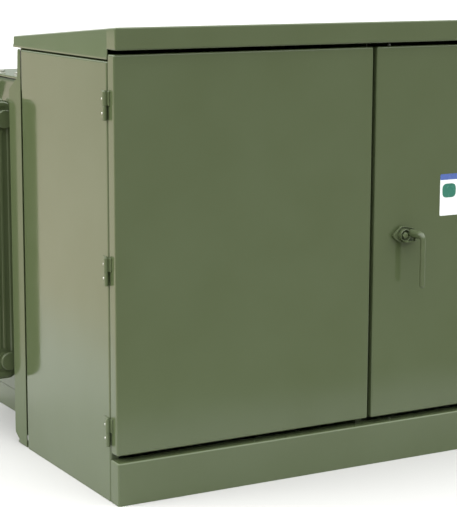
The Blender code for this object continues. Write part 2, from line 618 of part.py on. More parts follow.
def make_accessories():
    """Switch and tap changer handles, gauges, relief valve, drain valve and nameplate."""
    make_lever("switch_handle", SWITCH, 0.024, 0.095, "steel")
    make_lever("tap_changer_handle", TAP_CHANGER, 0.030, 0.060, "steel")

    for name, place, radius, needle in (("level_gauge", LEVEL_GAUGE, 0.045, 0.030),
                                        ("dial_thermometer", THERMOMETER, 0.050, 0.036)):
        turned(name, [(0.0, 0.016), (radius - 0.007, 0.016), (radius - 0.007, 0.028),
                      (radius - 0.002, 0.028), (radius, 0.026), (radius, 0.0005), (0.0, 0.0005)],
               on_tank(*place), "dial", 20)
        x, z = place
        pointer = block(name + "_needle", (x - 0.002, TANK_FRONT_Y - 0.0190, z - 0.008),
                        (x + 0.002, TANK_FRONT_Y - 0.0178, z + needle), "rubber")
        swings_about(pointer, on_tank(x, z))

    turned("relief_valve", [(0.0, 0.055), (0.014, 0.055), (0.016, 0.052), (0.016, 0.036),
                            (0.024, 0.034), (0.024, 0.0005), (0.0, 0.0005)],
           on_tank(*RELIEF_VALVE), "brass")
    x, z = RELIEF_VALVE
    stem = rod("relief_valve_ring", (x, TANK_FRONT_Y - 0.066, z), (x, TANK_FRONT_Y - 0.0555, z),
               0.003, "steel", 10)
    loop = turned("loop", [(0.013 + 0.002 * math.cos(math.radians(90 - 60 * step)),
                            0.002 * math.sin(math.radians(90 - 60 * step))) for step in range(6)],
                  (x, TANK_FRONT_Y - 0.079, z), sides=14, ring=True, rotation=(0.0, math.pi / 2, 0.0))
    combine(stem, "UNION", loop)

    x, z = DRAIN_VALVE
    valve = turned("drain_valve_body", [(0.0, 0.072), (0.012, 0.072), (0.020, 0.066), (0.020, 0.054),
                                        (0.015, 0.050), (0.030, 0.034), (0.030, 0.014),
                                        (0.018, 0.010), (0.018, 0.0005), (0.0, 0.0005)],
                   on_tank(x, z), "brass")
    outlet = rod("outlet", (x, TANK_FRONT_Y - 0.026, z - 0.055), (x, TANK_FRONT_Y - 0.026, z), 0.016,
                 sides=12)
    combine(valve, "UNION", outlet)
    wheel = turned("drain_valve_wheel", [(0.033 + 0.005 * math.cos(math.radians(90 - 60 * step)),
                                          0.086 + 0.005 * math.sin(math.radians(90 - 60 * step)))
                                         for step in range(6)], on_tank(x, z), "steel", ring=True)
    hub = rod("hub", (x, TANK_FRONT_Y - 0.092, z), (x, TANK_FRONT_Y - 0.0725, z), 0.008, sides=12)
    spoke_x = block("spoke", (x - 0.033, TANK_FRONT_Y - 0.0885, z - 0.003),
                    (x + 0.033, TANK_FRONT_Y - 0.0835, z + 0.003))
    spoke_z = block("spoke", (x - 0.003, TANK_FRONT_Y - 0.0880, z - 0.033),
                    (x + 0.003, TANK_FRONT_Y - 0.0840, z + 0.033))
    combine(wheel, "UNION", hub, spoke_x, spoke_z)

    x, z = NAMEPLATE
    block("nameplate", (x - 0.075, TANK_FRONT_Y - 0.0018, z - 0.055),
          (x + 0.075, TANK_FRONT_Y - 0.0005, z + 0.055), "tin")


make_cabinet()
make_doors()
for hinge_door, hinge_side in (("hv", -1), ("lv", 1)):
    for hinge_position, hinge_height in HINGE_HEIGHTS.items():
        make_hinge(hinge_door, hinge_side, hinge_position, hinge_height)
make_latch()
tank_shell = make_tank()
make_radiator("radiator_left", -1)
make_radiator("radiator_right", 1)
make_core()
make_terminals(tank_shell)
make_accessories()
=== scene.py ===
"""Looks of the pad-mounted transformer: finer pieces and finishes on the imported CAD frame.

Metres, in the CAD's own frame: the doors face -Y, +Z is up, the origin is on the ground under
the middle. A "reach" is measured outwards from the face that a fitting stands on.
"""

import json
import math

import bmesh
import bpy
from mathutils import Euler, Matrix, Vector

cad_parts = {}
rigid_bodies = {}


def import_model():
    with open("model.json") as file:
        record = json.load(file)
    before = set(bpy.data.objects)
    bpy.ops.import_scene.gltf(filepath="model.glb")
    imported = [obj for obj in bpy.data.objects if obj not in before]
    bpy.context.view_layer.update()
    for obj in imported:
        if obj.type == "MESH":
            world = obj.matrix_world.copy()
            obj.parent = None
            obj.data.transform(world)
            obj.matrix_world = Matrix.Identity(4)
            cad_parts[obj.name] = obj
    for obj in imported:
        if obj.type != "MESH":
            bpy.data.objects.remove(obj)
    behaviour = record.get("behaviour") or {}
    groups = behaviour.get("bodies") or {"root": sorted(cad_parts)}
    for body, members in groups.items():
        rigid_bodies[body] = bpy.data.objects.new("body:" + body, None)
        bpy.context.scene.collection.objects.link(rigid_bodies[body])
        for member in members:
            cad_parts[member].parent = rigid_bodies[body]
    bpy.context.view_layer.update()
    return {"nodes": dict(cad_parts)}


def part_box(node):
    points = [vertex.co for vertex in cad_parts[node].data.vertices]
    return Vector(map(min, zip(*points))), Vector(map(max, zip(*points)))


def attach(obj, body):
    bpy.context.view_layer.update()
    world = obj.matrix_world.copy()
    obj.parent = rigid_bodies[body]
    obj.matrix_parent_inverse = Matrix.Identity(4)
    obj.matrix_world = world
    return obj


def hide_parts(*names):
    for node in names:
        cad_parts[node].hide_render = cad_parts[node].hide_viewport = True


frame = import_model()
NODES = frame["nodes"]
JIGS = bpy.data.collections.new("jigs")
bpy.context.scene.collection.children.link(JIGS)

# ---------------------------------------------------------------- sizes
SHEET = 0.0027
BEND = 0.005
FRONT = Matrix.Rotation(math.pi / 2, 4, "X")
REAR = Matrix.Rotation(math.pi, 4, "Z") @ FRONT
UP = Matrix.Identity(4)
RIGHT = Matrix.Rotation(math.pi / 2, 4, "Z") @ FRONT
# Outline in (y, z), thickness along X.
FACING_ACROSS = Matrix(((0, 0, 1, 0), (1, 0, 0, 0), (0, 1, 0, 0), (0, 0, 0, 1)))

DOOR_LOW, DOOR_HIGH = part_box("hv_door")
FACE_Y = DOOR_LOW.y
DOOR_BACK = DOOR_HIGH.y
HALF = -DOOR_LOW.x
TANK_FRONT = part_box("nameplate")[1].y + 0.0005
TANK_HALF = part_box("tank_cover")[1].x - 0.008
TANK_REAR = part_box("tank_cover")[1].y - 0.008
WALL_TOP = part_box("cover_gasket")[0].z - 0.0003
# The radiators' reach: their inner edge, the pipes' axis, and how far the pipes sit from the ends.
RADIATOR_INNER = 0.829
HEADER_X = 0.858
HEADER_INSET = 0.055
HEADER_RADIUS = 0.026
# The tank's walls stop above a skirt that is set in from them.
WALL_FOOT = 0.075
SKIRT_INSET = 0.003


# ---------------------------------------------------------------- node and colour tools
def linear(code):
    """An sRGB hex colour as linear numbers with an alpha."""
    channels = [int(code[start:start + 2], 16) / 255 for start in (1, 3, 5)]
    return (*(c / 12.92 if c <= 0.04045 else ((c + 0.055) / 1.055) ** 2.4 for c in channels), 1.0)


def add(tree, kind, inputs=(), **settings):
    """Add a node with its settings; an input is a value, or another node's output to link."""
    node = tree.nodes.new(kind)
    for name, value in settings.items():
        setattr(node, name, value)
    for key, value in dict(inputs).items():
        if isinstance(value, bpy.types.NodeSocket):
            tree.links.new(value, node.inputs[key])
        else:
            node.inputs[key].default_value = value
    return node


# ---------------------------------------------------------------- finishes
def start_finish(name):
    """An empty material: its tree, and the output its shader goes to."""
    material = bpy.data.materials.new(name)
    material.use_nodes = True
    material.node_tree.nodes.clear()
    return material, material.node_tree


def mottled(tree, spot, place, low, high, detail=2.0):
    """A noise of spots the given millimetres across, spread from low to high."""
    noise = add(tree, "ShaderNodeTexNoise", {"Vector": place, "Scale": 1000 / spot, "Detail": detail})
    return add(tree, "ShaderNodeMapRange", {"Value": noise.outputs["Fac"], "From Min": 0.3,
                                            "From Max": 0.7, "To Min": low, "To Max": high})


def coated(name, colour, worn, rough, peel=(3.0, 0.006), wave=None, patch=180.0, **shader):
    """A sprayed or moulded finish: a drifting tint, uneven gloss, a fine skin and slow waves."""
    material, tree = start_finish(name)
    place = add(tree, "ShaderNodeTexCoord").outputs["Object"]
    drift = mottled(tree, patch, place, 0.0, 1.0, 4.0)
    tint = add(tree, "ShaderNodeMix", {0: drift.outputs[0], 6: linear(colour), 7: linear(worn)},
               data_type="RGBA")
    gloss = mottled(tree, patch * 0.4, place, *rough)
    relief = {}
    for spot, depth in filter(None, (wave, peel)):
        skin = add(tree, "ShaderNodeTexNoise", {"Vector": place, "Scale": 1000 / spot, "Detail": 1.0})
        raised = add(tree, "ShaderNodeBump", {"Height": skin.outputs["Fac"], "Strength": 1.0,
                                              "Distance": depth / 1000, **relief})
        relief = {"Normal": raised.outputs[0]}
    surface = add(tree, "ShaderNodeBsdfPrincipled",
                  {"Base Color": tint.outputs[2], "Roughness": gloss.outputs[0], **relief,
                   **shader})
    add(tree, "ShaderNodeOutputMaterial", {"Surface": surface.outputs[0]})
    return material


def drawn(name, colour, dull, rough, stretch, grain=0.6, depth=0.004, **shader):
    """Bare or plated metal with the fine scratches of rolling, brushing or turning."""
    material, tree = start_finish(name)
    place = add(tree, "ShaderNodeTexCoord").outputs["Object"]
    along = add(tree, "ShaderNodeMapping", {"Vector": place, "Scale": stretch})
    lines = mottled(tree, grain, along.outputs[0], 0.0, 1.0, 3.0)
    stain = mottled(tree, 25.0, place, 0.0, 1.0, 3.0)
    tint = add(tree, "ShaderNodeMix", {0: stain.outputs[0], 6: linear(colour), 7: linear(dull)},
               data_type="RGBA")
    gloss = mottled(tree, 12.0, place, *rough)
    scored = add(tree, "ShaderNodeBump", {"Height": lines.outputs[0], "Distance": depth / 1000})
    surface = add(tree, "ShaderNodeBsdfPrincipled",
                  {"Base Color": tint.outputs[2], "Roughness": gloss.outputs[0], "Metallic": 1.0,
                   "Normal": scored.outputs[0], **shader})
    add(tree, "ShaderNodeOutputMaterial", {"Surface": surface.outputs[0]})
    return material


# Stoved polyester enamel over primer: smooth and glossy, a dull olive green that mirrors its
# surroundings, with a faint orange peel and the slow waves of large steel sheets.
ENAMEL = coated("stoved_enamel", "#485237", "#4b553b", (0.06, 0.12), peel=(4.0, 0.004),
                wave=(260.0, 0.25), **{"IOR": 1.5})
# The same enamel where it lies thicker and duller, on castings, hinges and welds.
ENAMEL_THICK = coated("brushed_on_enamel", "#485238", "#4d573c", (0.16, 0.26), peel=(5.0, 0.02),
                      patch=40.0, **{"IOR": 1.5})
# Enamel inside the compartments: the same paint, thinner and flatter.
ENAMEL_INNER = coated("inner_enamel", "#4a543d", "#4f5941", (0.22, 0.34), wave=(260.0, 0.08),
                      **{"IOR": 1.5})
# Zinc plating: bright but grainy, with a cloudy passivated tint.
ZINC = drawn("zinc_plate", "#b9bab4", "#a3a59b", (0.28, 0.42), (1.0, 1.0, 1.0))
# Cast and machined brass.
BRASS = drawn("valve_brass", "#b59a5b", "#9a8450", (0.22, 0.38), (1.0, 1.0, 1.0))
# Tin over copper or bronze: pale, soft and satin.
TIN = drawn("tin_plate", "#c6c5be", "#b3b2aa", (0.25, 0.36), (1.0, 4.0, 1.0))
# Brushed stainless: fine straight lines from side to side.
STAINLESS = drawn("brushed_stainless", "#b4b5b2", "#a9aaa8", (0.24, 0.34), (0.04, 1.0, 1.0),
                  grain=0.8)
# Cast epoxy: brick brown, satin, with the bloom of a mould.
EPOXY = coated("cast_epoxy", "#6b3a28", "#74432f", (0.28, 0.38), peel=(2.0, 0.01), patch=60.0,
               **{"IOR": 1.55})
# Moulded glass-filled nylon: charcoal and slightly grainy.
NYLON = coated("glass_filled_nylon", "#34363a", "#3d3f42", (0.42, 0.55), peel=(0.8, 0.03),
               patch=30.0, **{"IOR": 1.53})
# Moulded rubber and cork sheet: black and matt.
RUBBER = coated("nitrile_rubber", "#161616", "#202020", (0.65, 0.8), peel=(1.2, 0.05), patch=30.0)
# Printed dial card: chalk white under the lens.
DIAL = coated("dial_card", "#e6e6df", "#dededa", (0.4, 0.5), peel=(1.0, 0.001), patch=20.0)
# Screen ink and the pointer's paint.
INK = coated("black_ink", "#141414", "#1a1a1a", (0.35, 0.45), peel=(1.0, 0.002), patch=10.0)
# Die-cast gauge case: grey baked lacquer.
CASE = coated("gauge_lacquer", "#6a6d6b", "#737673", (0.3, 0.4), peel=(1.5, 0.02), patch=20.0)
# Vinyl label stock, white, blue and green, with the soft sheen of its overlaminate.
VINYL = coated("white_vinyl", "#e9ecec", "#e3e7e7", (0.22, 0.3), peel=(6.0, 0.01), patch=40.0)
VINYL_BLUE = coated("blue_vinyl", "#4a5f9e", "#4f64a2", (0.22, 0.3), peel=(6.0, 0.01), patch=40.0)
# Clear polycarbonate lens.
LENS = coated("clear_lens", "#f4f6f6", "#eef1f1", (0.03, 0.06), peel=(8.0, 0.001),
              **{"IOR": 1.58, "Transmission Weight": 1.0})
# Silicon steel laminations seen on edge: dark grey, rolled, with oil on them.
CORE_STEEL = drawn("silicon_steel_edges", "#4c4d50", "#3f4043", (0.35, 0.5), (1.0, 1.0, 6.0), grain=1.0)
# Varnished paper and wire: amber brown, glossy where the varnish pooled.
COIL_PAPER = coated("varnished_paper", "#6f4a22", "#5c3c1c", (0.25, 0.45), peel=(2.5, 0.08), patch=35.0)
VINYL_GREEN = coated("green_vinyl", "#2c6a5a", "#31705f", (0.22, 0.3), peel=(6.0, 0.01), patch=40.0)


# ---------------------------------------------------------------- shaping tools
def filleted(points, radius, steps=4, closed=False):
    """Round the corners of a line of 2-D or 3-D points."""
    points = [Vector(point) for point in points]
    count, rounded = len(points), []
    for number, corner in enumerate(points):
        if not closed and number in (0, count - 1):
            rounded.append(corner)
            continue
        before, after = points[number - 1] - corner, points[(number + 1) % count] - corner
        start = corner + before.normalized() * min(radius, before.length * 0.48)
        end = corner + after.normalized() * min(radius, after.length * 0.48)
        for step in range(steps + 1):
            part = step / steps
            rounded.append(start * (1 - part) ** 2 + corner * 2 * part * (1 - part) + end * part ** 2)
    return rounded


def filleted_pairs(points, radius, steps=3, closed=False):
    """Fillet a lathe profile, or a closed outline, and give it back as pairs."""
    return [(point.x, point.y) for point in filleted(points, radius, steps, closed)]


def slab(bm, low, high, edge=0.0008, steps=2):
    """A box between two corners with its edges eased."""
    pairs = [sorted(pair) for pair in zip(low, high)]
    middle = [sum(pair) / 2 for pair in pairs]
    size = [pair[1] - pair[0] for pair in pairs]
    place = Matrix.Translation(middle) @ Matrix.Diagonal((*size, 1.0))
    corners = bmesh.ops.create_cube(bm, size=1.0, matrix=place)["verts"]
    if edge:
        edges = list({link for corner in corners for link in corner.link_edges})
        bmesh.ops.bevel(bm, geom=edges, offset=edge, segments=steps, profile=0.5,
                        affect="EDGES", clamp_overlap=True)


def lathe(bm, profile, origin, facing=FRONT, sides=32, ring=False):
    """Revolve (radius, reach) points; a radius of nought closes a pole."""
    place = Matrix.Translation(origin) @ facing
    rings = []
    for radius, reach in profile:
        turns = range(sides) if radius > 1e-6 else (0,)
        rings.append([bm.verts.new(place @ Vector((radius * math.cos(math.tau * turn / sides),
                                                   radius * math.sin(math.tau * turn / sides),
                                                   reach))) for turn in turns])
    pairs = list(zip(rings, rings[1:])) + ([(rings[-1], rings[0])] if ring else [])
    for upper, lower in pairs:
        for turn in range(sides):
            after = (turn + 1) % sides
            corners = (upper[turn % len(upper)], upper[after % len(upper)],
                       lower[after % len(lower)], lower[turn % len(lower)])
            bm.faces.new(dict.fromkeys(corners))


def puck(bm, radius, near, far, edge, at, facing=FRONT, sides=32):
    """A turned disc with eased rims, between two reaches."""
    profile = [(0, near), (radius, near), (radius, far), (0, far)]
    lathe(bm, filleted_pairs(profile, edge), at, facing, sides)


def tube(bm, path, radius, sides=16, domed=False, root=None):
    """A round bar along a path, with flat or domed ends, thicker at its root if that is given."""
    path = [Vector(point) for point in path]
    fade = [max(0.0, 1 - 2.5 * number / len(path)) for number in range(len(path))]
    stations = [(point, radius + ((root or radius) - radius) * share)
                for point, share in zip(path, fade)]
    if domed:
        first, last = (path[0] - path[1]).normalized(), (path[-1] - path[-2]).normalized()
        caps = [(math.sin(math.radians(angle)), math.cos(math.radians(angle)))
                for angle in (25, 50, 72)]
        stations[0] = (path[0] - first * radius, root or radius)
        stations[-1] = (path[-1] - last * radius, radius)
        stations = [(path[0] - first * radius * (1 - rise), (root or radius) * wide)
                    for rise, wide in reversed(caps)] + stations
        stations += [(path[-1] - last * radius * (1 - rise), radius * wide) for rise, wide in caps]
    side, rings = None, []
    for number, (point, wide) in enumerate(stations):
        ahead = stations[min(number + 1, len(stations) - 1)][0]
        behind = stations[max(number - 1, 0)][0]
        along = (ahead - behind).normalized()
        side = along.orthogonal() if side is None else side - along * side.dot(along)
        side.normalize()
        cross = along.cross(side)
        rings.append([bm.verts.new(point + wide * (side * math.cos(math.tau * turn / sides)
                                                   + cross * math.sin(math.tau * turn / sides)))
                      for turn in range(sides)])
    for upper, lower in zip(rings, rings[1:]):
        for turn in range(sides):
            after = (turn + 1) % sides
            bm.faces.new((upper[turn], upper[after], lower[after], lower[turn]))
    bm.faces.new(rings[0])
    bm.faces.new(reversed(rings[-1]))


def plate(bm, outline, thickness, place=UP, edge=0.0):
    """A flat piece cut to an outline, in the middle of its thickness, with its rim eased."""
    lower = [bm.verts.new((*point[:2], -thickness / 2)) for point in outline]
    face = bm.faces.new(lower)
    raised = bmesh.ops.extrude_face_region(bm, geom=[face])["geom"]
    upper = [part for part in raised if isinstance(part, bmesh.types.BMVert)]
    bmesh.ops.translate(bm, verts=upper, vec=(0.0, 0.0, thickness))
    bmesh.ops.transform(bm, matrix=place, verts=lower + upper)
    if edge:
        rims = [link for ends in (set(lower), set(upper)) for corner in ends
                for link in corner.link_edges if link.other_vert(corner) in ends]
        bmesh.ops.bevel(bm, geom=list(set(rims)), offset=edge, segments=2, profile=0.5,
                        affect="EDGES", clamp_overlap=True)


def strip(points, thickness):
    """The closed outline of a bent strip, from the line of its outer skin."""
    points = [Vector(point[:2]) for point in points]
    inner = []
    for number, point in enumerate(points):
        along = (points[min(number + 1, len(points) - 1)] - points[max(number - 1, 0)]).normalized()
        inner.append(point + Vector((-along.y, along.x)) * thickness)
    return points + inner[::-1]


def shelled(low, high, open_sides, bend, lip=0.0, sheet=SHEET, reshape=None, steps=5):
    """A tray folded from sheet: open on some sides, with returned lips and radiused bends."""
    bm = bmesh.new()
    slab(bm, low, high, edge=0.0)
    if reshape:
        reshape(bm)
    bm.normal_update()
    open_faces = [face for face in bm.faces
                  if any(face.normal.dot(Vector(side)) > 0.9 for side in open_sides)]
    bmesh.ops.delete(bm, geom=open_faces, context="FACES")
    if lip:
        rim = [link for link in bm.edges if link.is_boundary]
        grown_rim = bmesh.ops.extrude_edge_only(bm, edges=rim)["geom"]
        middle = (Vector(low) + Vector(high)) / 2
        across = [axis for axis in range(3) if not any(abs(side[axis]) for side in open_sides)]
        for corner in (part for part in grown_rim if isinstance(part, bmesh.types.BMVert)):
            for axis in across:
                corner.co[axis] += math.copysign(lip, middle[axis] - corner.co[axis])
    mesh = bpy.data.meshes.new("tray")
    bm.to_mesh(mesh)
    bm.free()
    tray = bpy.data.objects.new("tray", mesh)
    JIGS.objects.link(tray)
    fold = tray.modifiers.new("fold", "BEVEL")
    fold.width, fold.segments, fold.limit_method = bend, steps, "ANGLE"
    wall = tray.modifiers.new("wall", "SOLIDIFY")
    wall.thickness, wall.offset, wall.use_even_offset = sheet, -1.0, True
    return evaluated(tray)


def evaluated(obj):
    """A working mesh of an object with its modifiers run; the object is used up."""
    bpy.context.view_layer.update()
    graph = bpy.context.evaluated_depsgraph_get()
    mesh = bpy.data.meshes.new_from_object(obj.evaluated_get(graph), depsgraph=graph)
    bm = bmesh.new()
    bm.from_mesh(mesh)
    bpy.data.objects.remove(obj, do_unlink=True)
    return bm


def cut(bm, *cutters):
    """Cut closed shapes out of a working mesh."""
    made = []
    for number, shape in enumerate((bm, *cutters)):
        bmesh.ops.recalc_face_normals(shape, faces=shape.faces)
        mesh = bpy.data.meshes.new("cut")
        shape.to_mesh(mesh)
        shape.free()
        made.append(bpy.data.objects.new(f"cut_{number}", mesh))
        JIGS.objects.link(made[-1])
    for cutter in made[1:]:
        step = made[0].modifiers.new("cut", "BOOLEAN")
        step.operation, step.solver, step.object = "DIFFERENCE", "EXACT", cutter
    result = evaluated(made[0])
    for cutter in made[1:]:
        bpy.data.objects.remove(cutter, do_unlink=True)
    return result


def piece(name, bm, body, finish, replaces=(), crease=34):
    """Finish a working mesh: outward faces, smooth bends, its finish, and the body it rides on."""
    bmesh.ops.recalc_face_normals(bm, faces=bm.faces)
    mesh = bpy.data.meshes.new(name)
    bm.to_mesh(mesh)
    bm.free()
    return settled(name, mesh, body, finish, replaces, crease)


def settled(name, mesh, body, finish, replaces=(), crease=34):
    """Turn a mesh into a piece of the object."""
    obj = bpy.data.objects.new(name, mesh)
    bpy.context.scene.collection.objects.link(obj)
    if finish:
        mesh.materials.clear()
        mesh.materials.append(finish)
    mesh.shade_smooth()
    mesh.set_sharp_from_angle(angle=math.radians(crease))
    flatten = obj.modifiers.new("flat_faces", "WEIGHTED_NORMAL")
    flatten.keep_sharp = True
    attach(obj, body)
    if replaces:
        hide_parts(*replaces)
    return obj


# ---------------------------------------------------------------- geometry trees
def tree_with(name, **kinds):
    """An empty geometry tree with named inputs; returns it with its input and output nodes."""
    tree = bpy.data.node_groups.new(name, "GeometryNodeTree")
    tree.interface.new_socket("Geometry", in_out="INPUT", socket_type="NodeSocketGeometry")
    for socket, kind in kinds.items():
        tree.interface.new_socket(socket.replace("_", " ").capitalize(), in_out="INPUT",
                                  socket_type="NodeSocket" + kind)
    tree.interface.new_socket("Geometry", in_out="OUTPUT", socket_type="NodeSocketGeometry")
    return tree, tree.nodes.new("NodeGroupInput").outputs


def close_tree(tree, instances, finish):
    """Realize the instances, give them their finish and hand them out."""
    solid = add(tree, "GeometryNodeRealizeInstances", {"Geometry": instances})
    painted = add(tree, "GeometryNodeSetMaterial", {"Geometry": solid.outputs[0], "Material": finish})
    add(tree, "NodeGroupOutput", {0: painted.outputs[0]})


def fastener_tree():
    """Stand a fastener on every point, along the point's outward direction, turned at random."""
    tree, given = tree_with("fasteners", fastener="Object", spin="Int", finish="Material")
    outward = add(tree, "GeometryNodeInputNamedAttribute", {"Name": "outward"},
                  data_type="FLOAT_VECTOR")
    stand = add(tree, "FunctionNodeAlignRotationToVector", {"Vector": outward.outputs[0]}, axis="Z")
    pattern = add(tree, "GeometryNodeObjectInfo", {"Object": given["Fastener"]})
    placed = add(tree, "GeometryNodeInstanceOnPoints",
                 {"Points": given["Geometry"], "Instance": pattern.outputs["Geometry"],
                  "Rotation": stand.outputs[0]})
    turn = add(tree, "FunctionNodeRandomValue", {2: 0.0, 3: math.tau, "Seed": given["Spin"]})
    spin = add(tree, "ShaderNodeCombineXYZ", {"Z": turn.outputs[1]})
    turned = add(tree, "GeometryNodeRotateInstances",
                 {"Instances": placed.outputs[0], "Rotation": spin.outputs[0], "Local Space": True})
    close_tree(tree, turned.outputs[0], given["Finish"])
    return tree


def weld_tree():
    """Lay overlapping ripples along seams, one every pitch, facing outward."""
    tree, given = tree_with("weld", ripple="Object", pitch="Float", finish="Material")
    seam = add(tree, "GeometryNodeMeshToCurve", {"Mesh": given["Geometry"]})
    steps = add(tree, "GeometryNodeResampleCurve",
                {"Curve": seam.outputs[0], "Length": given["Pitch"]}, mode="LENGTH")
    outward = add(tree, "GeometryNodeInputNamedAttribute", {"Name": "outward"},
                  data_type="FLOAT_VECTOR")
    along = tree.nodes.new("GeometryNodeInputTangent")
    stand = add(tree, "FunctionNodeAxesToRotation",
                {0: outward.outputs[0], 1: along.outputs[0]}, primary_axis="Z", secondary_axis="X")
    pattern = add(tree, "GeometryNodeObjectInfo", {"Object": given["Ripple"]})
    size = add(tree, "FunctionNodeRandomValue", {2: 0.85, 3: 1.1, "Seed": 4})
    placed = add(tree, "GeometryNodeInstanceOnPoints",
                 {"Points": steps.outputs[0], "Instance": pattern.outputs["Geometry"],
                  "Rotation": stand.outputs[0], "Scale": size.outputs[1]})
    close_tree(tree, placed.outputs[0], given["Finish"])
    return tree


def row_tree():
    """Repeat a pattern along a straight row, a pitch apart."""
    tree, given = tree_with("row", pattern="Object", count="Int", pitch="Vector", finish="Material")
    line = add(tree, "GeometryNodeMeshLine", {"Count": given["Count"], "Offset": given["Pitch"]},
               mode="OFFSET")
    pattern = add(tree, "GeometryNodeObjectInfo", {"Object": given["Pattern"]})
    placed = add(tree, "GeometryNodeInstanceOnPoints",
                 {"Points": line.outputs[0], "Instance": pattern.outputs["Geometry"]})
    close_tree(tree, placed.outputs[0], given["Finish"])
    return tree


def dial_tree():
    """Set marks round a dial, over a sweep from its left stop to its right stop."""
    tree, given = tree_with("dial", mark="Object", count="Int", sweep="Float", finish="Material")
    line = add(tree, "GeometryNodeMeshLine", {"Count": given["Count"], "Offset": (0.0, 0.0, 0.0)},
               mode="OFFSET")
    number = tree.nodes.new("GeometryNodeInputIndex")
    gaps = add(tree, "ShaderNodeMath", {0: given["Count"], 1: 1.0}, operation="SUBTRACT")
    share = add(tree, "ShaderNodeMath", {0: number.outputs[0], 1: gaps.outputs[0]},
                operation="DIVIDE")
    centred = add(tree, "ShaderNodeMath", {0: 0.5, 1: share.outputs[0]}, operation="SUBTRACT")
    angle = add(tree, "ShaderNodeMath", {0: centred.outputs[0], 1: given["Sweep"]},
                operation="MULTIPLY")
    turn = add(tree, "ShaderNodeCombineXYZ", {"Z": angle.outputs[0]})
    pattern = add(tree, "GeometryNodeObjectInfo", {"Object": given["Mark"]})
    placed = add(tree, "GeometryNodeInstanceOnPoints",
                 {"Points": line.outputs[0], "Instance": pattern.outputs["Geometry"],
                  "Rotation": turn.outputs[0]})
    close_tree(tree, placed.outputs[0], given["Finish"])
    return tree


def jig(name, bm, crease=34):
    """A pattern for a tree to repeat; it isn't part of the object."""
    bmesh.ops.recalc_face_normals(bm, faces=bm.faces)
    mesh = bpy.data.meshes.new(name)
    bm.to_mesh(mesh)
    bm.free()
    mesh.shade_smooth()
    mesh.set_sharp_from_angle(angle=math.radians(crease))
    pattern = bpy.data.objects.new(name, mesh)
    JIGS.objects.link(pattern)
    return pattern


def grown(tree, points=(), lines=(), **given):
    """Run a tree on points or lines, each a place with its outward direction; keep the mesh."""
    spots = list(points) + [spot for line in lines for spot in line]
    edges, start = [], len(points)
    for line in lines:
        edges += [(start + step, start + step + 1) for step in range(len(line) - 1)]
        start += len(line)
    base = bpy.data.meshes.new("base")
    base.from_pydata([spot[0] for spot in spots], edges, [])
    if spots:
        outward = base.attributes.new("outward", "FLOAT_VECTOR", "POINT")
        outward.data.foreach_set("vector", [c for spot in spots for c in spot[1]])
    carrier = bpy.data.objects.new("carrier", base)
    JIGS.objects.link(carrier)
    step = carrier.modifiers.new("grow", "NODES")
    step.node_group = tree
    for socket in tree.interface.items_tree:
        word = socket.name.lower()
        if socket.in_out == "INPUT" and word in given:
            step[socket.identifier] = given[word]
    bpy.context.view_layer.update()
    graph = bpy.context.evaluated_depsgraph_get()
    mesh = bpy.data.meshes.new_from_object(carrier.evaluated_get(graph), depsgraph=graph)
    bpy.data.objects.remove(carrier, do_unlink=True)
    return mesh


FASTENERS, WELD, ROW, DIAL_MARKS = fastener_tree(), weld_tree(), row_tree(), dial_tree()


def hex_outline(across_flats, sides=6):
    """A bolt head's outline."""
    reach = across_flats / 2 / math.cos(math.pi / sides)
    return [(reach * math.cos(math.tau * (turn + 0.5) / sides),
             reach * math.sin(math.tau * (turn + 0.5) / sides)) for turn in range(sides)]


def bolt_jig(name, size, washer=True):
    """A hexagon bolt head on its washer; size is the thread's diameter."""
    bm = bmesh.new()
    base = 0.0
    if washer:
        base = size * 0.18
        lathe(bm, [(0, base), (size * 1.02, base), (size * 1.08, base * 0.7), (size * 1.08, 0), (0, 0)],
              (0, 0, 0), UP, 18)
    head = size * 0.64
    plate(bm, hex_outline(size * 1.6), head, Matrix.Translation((0, 0, base + head / 2)))
    lathe(bm, [(0, head + base + size * 0.07), (size * 0.55, head + base + size * 0.06),
               (size * 0.74, head + base), (size * 0.74, head + base - size * 0.05),
               (0, head + base - size * 0.05)], (0, 0, 0), UP, 12)
    return jig(name, bm)


def dome_jig(name, radius, height):
    """A rivet's domed head."""
    bm = bmesh.new()
    lathe(bm, [(0, height), (radius * 0.45, height * 0.9), (radius * 0.8, height * 0.58),
               (radius, height * 0.1), (radius, -0.0003), (0, -0.0003)], (0, 0, 0), UP, 12)
    return jig(name, bm, 60)


def ripple_jig():
    """One ripple of a weld bead, 5 mm wide, standing 1.4 mm."""
    bm = bmesh.new()
    bmesh.ops.create_uvsphere(bm, u_segments=8, v_segments=5, radius=1.0,
                              matrix=Matrix.Diagonal((0.0024, 0.0028, 0.0014, 1.0)))
    return jig("ripple", bm, 80)


BOLT_M6, BOLT_M10, BOLT_M12 = (bolt_jig(f"bolt_m{size}", size / 1000) for size in (6, 10, 12))
RIVET = dome_jig("rivet", 0.0022, 0.0012)
RIVET_LARGE = dome_jig("hinge_rivet", 0.0034, 0.0019)
RIPPLE = ripple_jig()


def fastened(name, body, pattern, points, finish, spin=1):
    """A set of fasteners on one body."""
    mesh = grown(FASTENERS, points=points, fastener=pattern, spin=spin, finish=finish)
    return settled(name, mesh, body, None)


def welded(name, body, lines, finish, pitch=0.0028):
    """Weld beads along seams on one body."""
    mesh = grown(WELD, lines=lines, ripple=RIPPLE, pitch=pitch, finish=finish)
    return settled(name, mesh, body, None, crease=80)


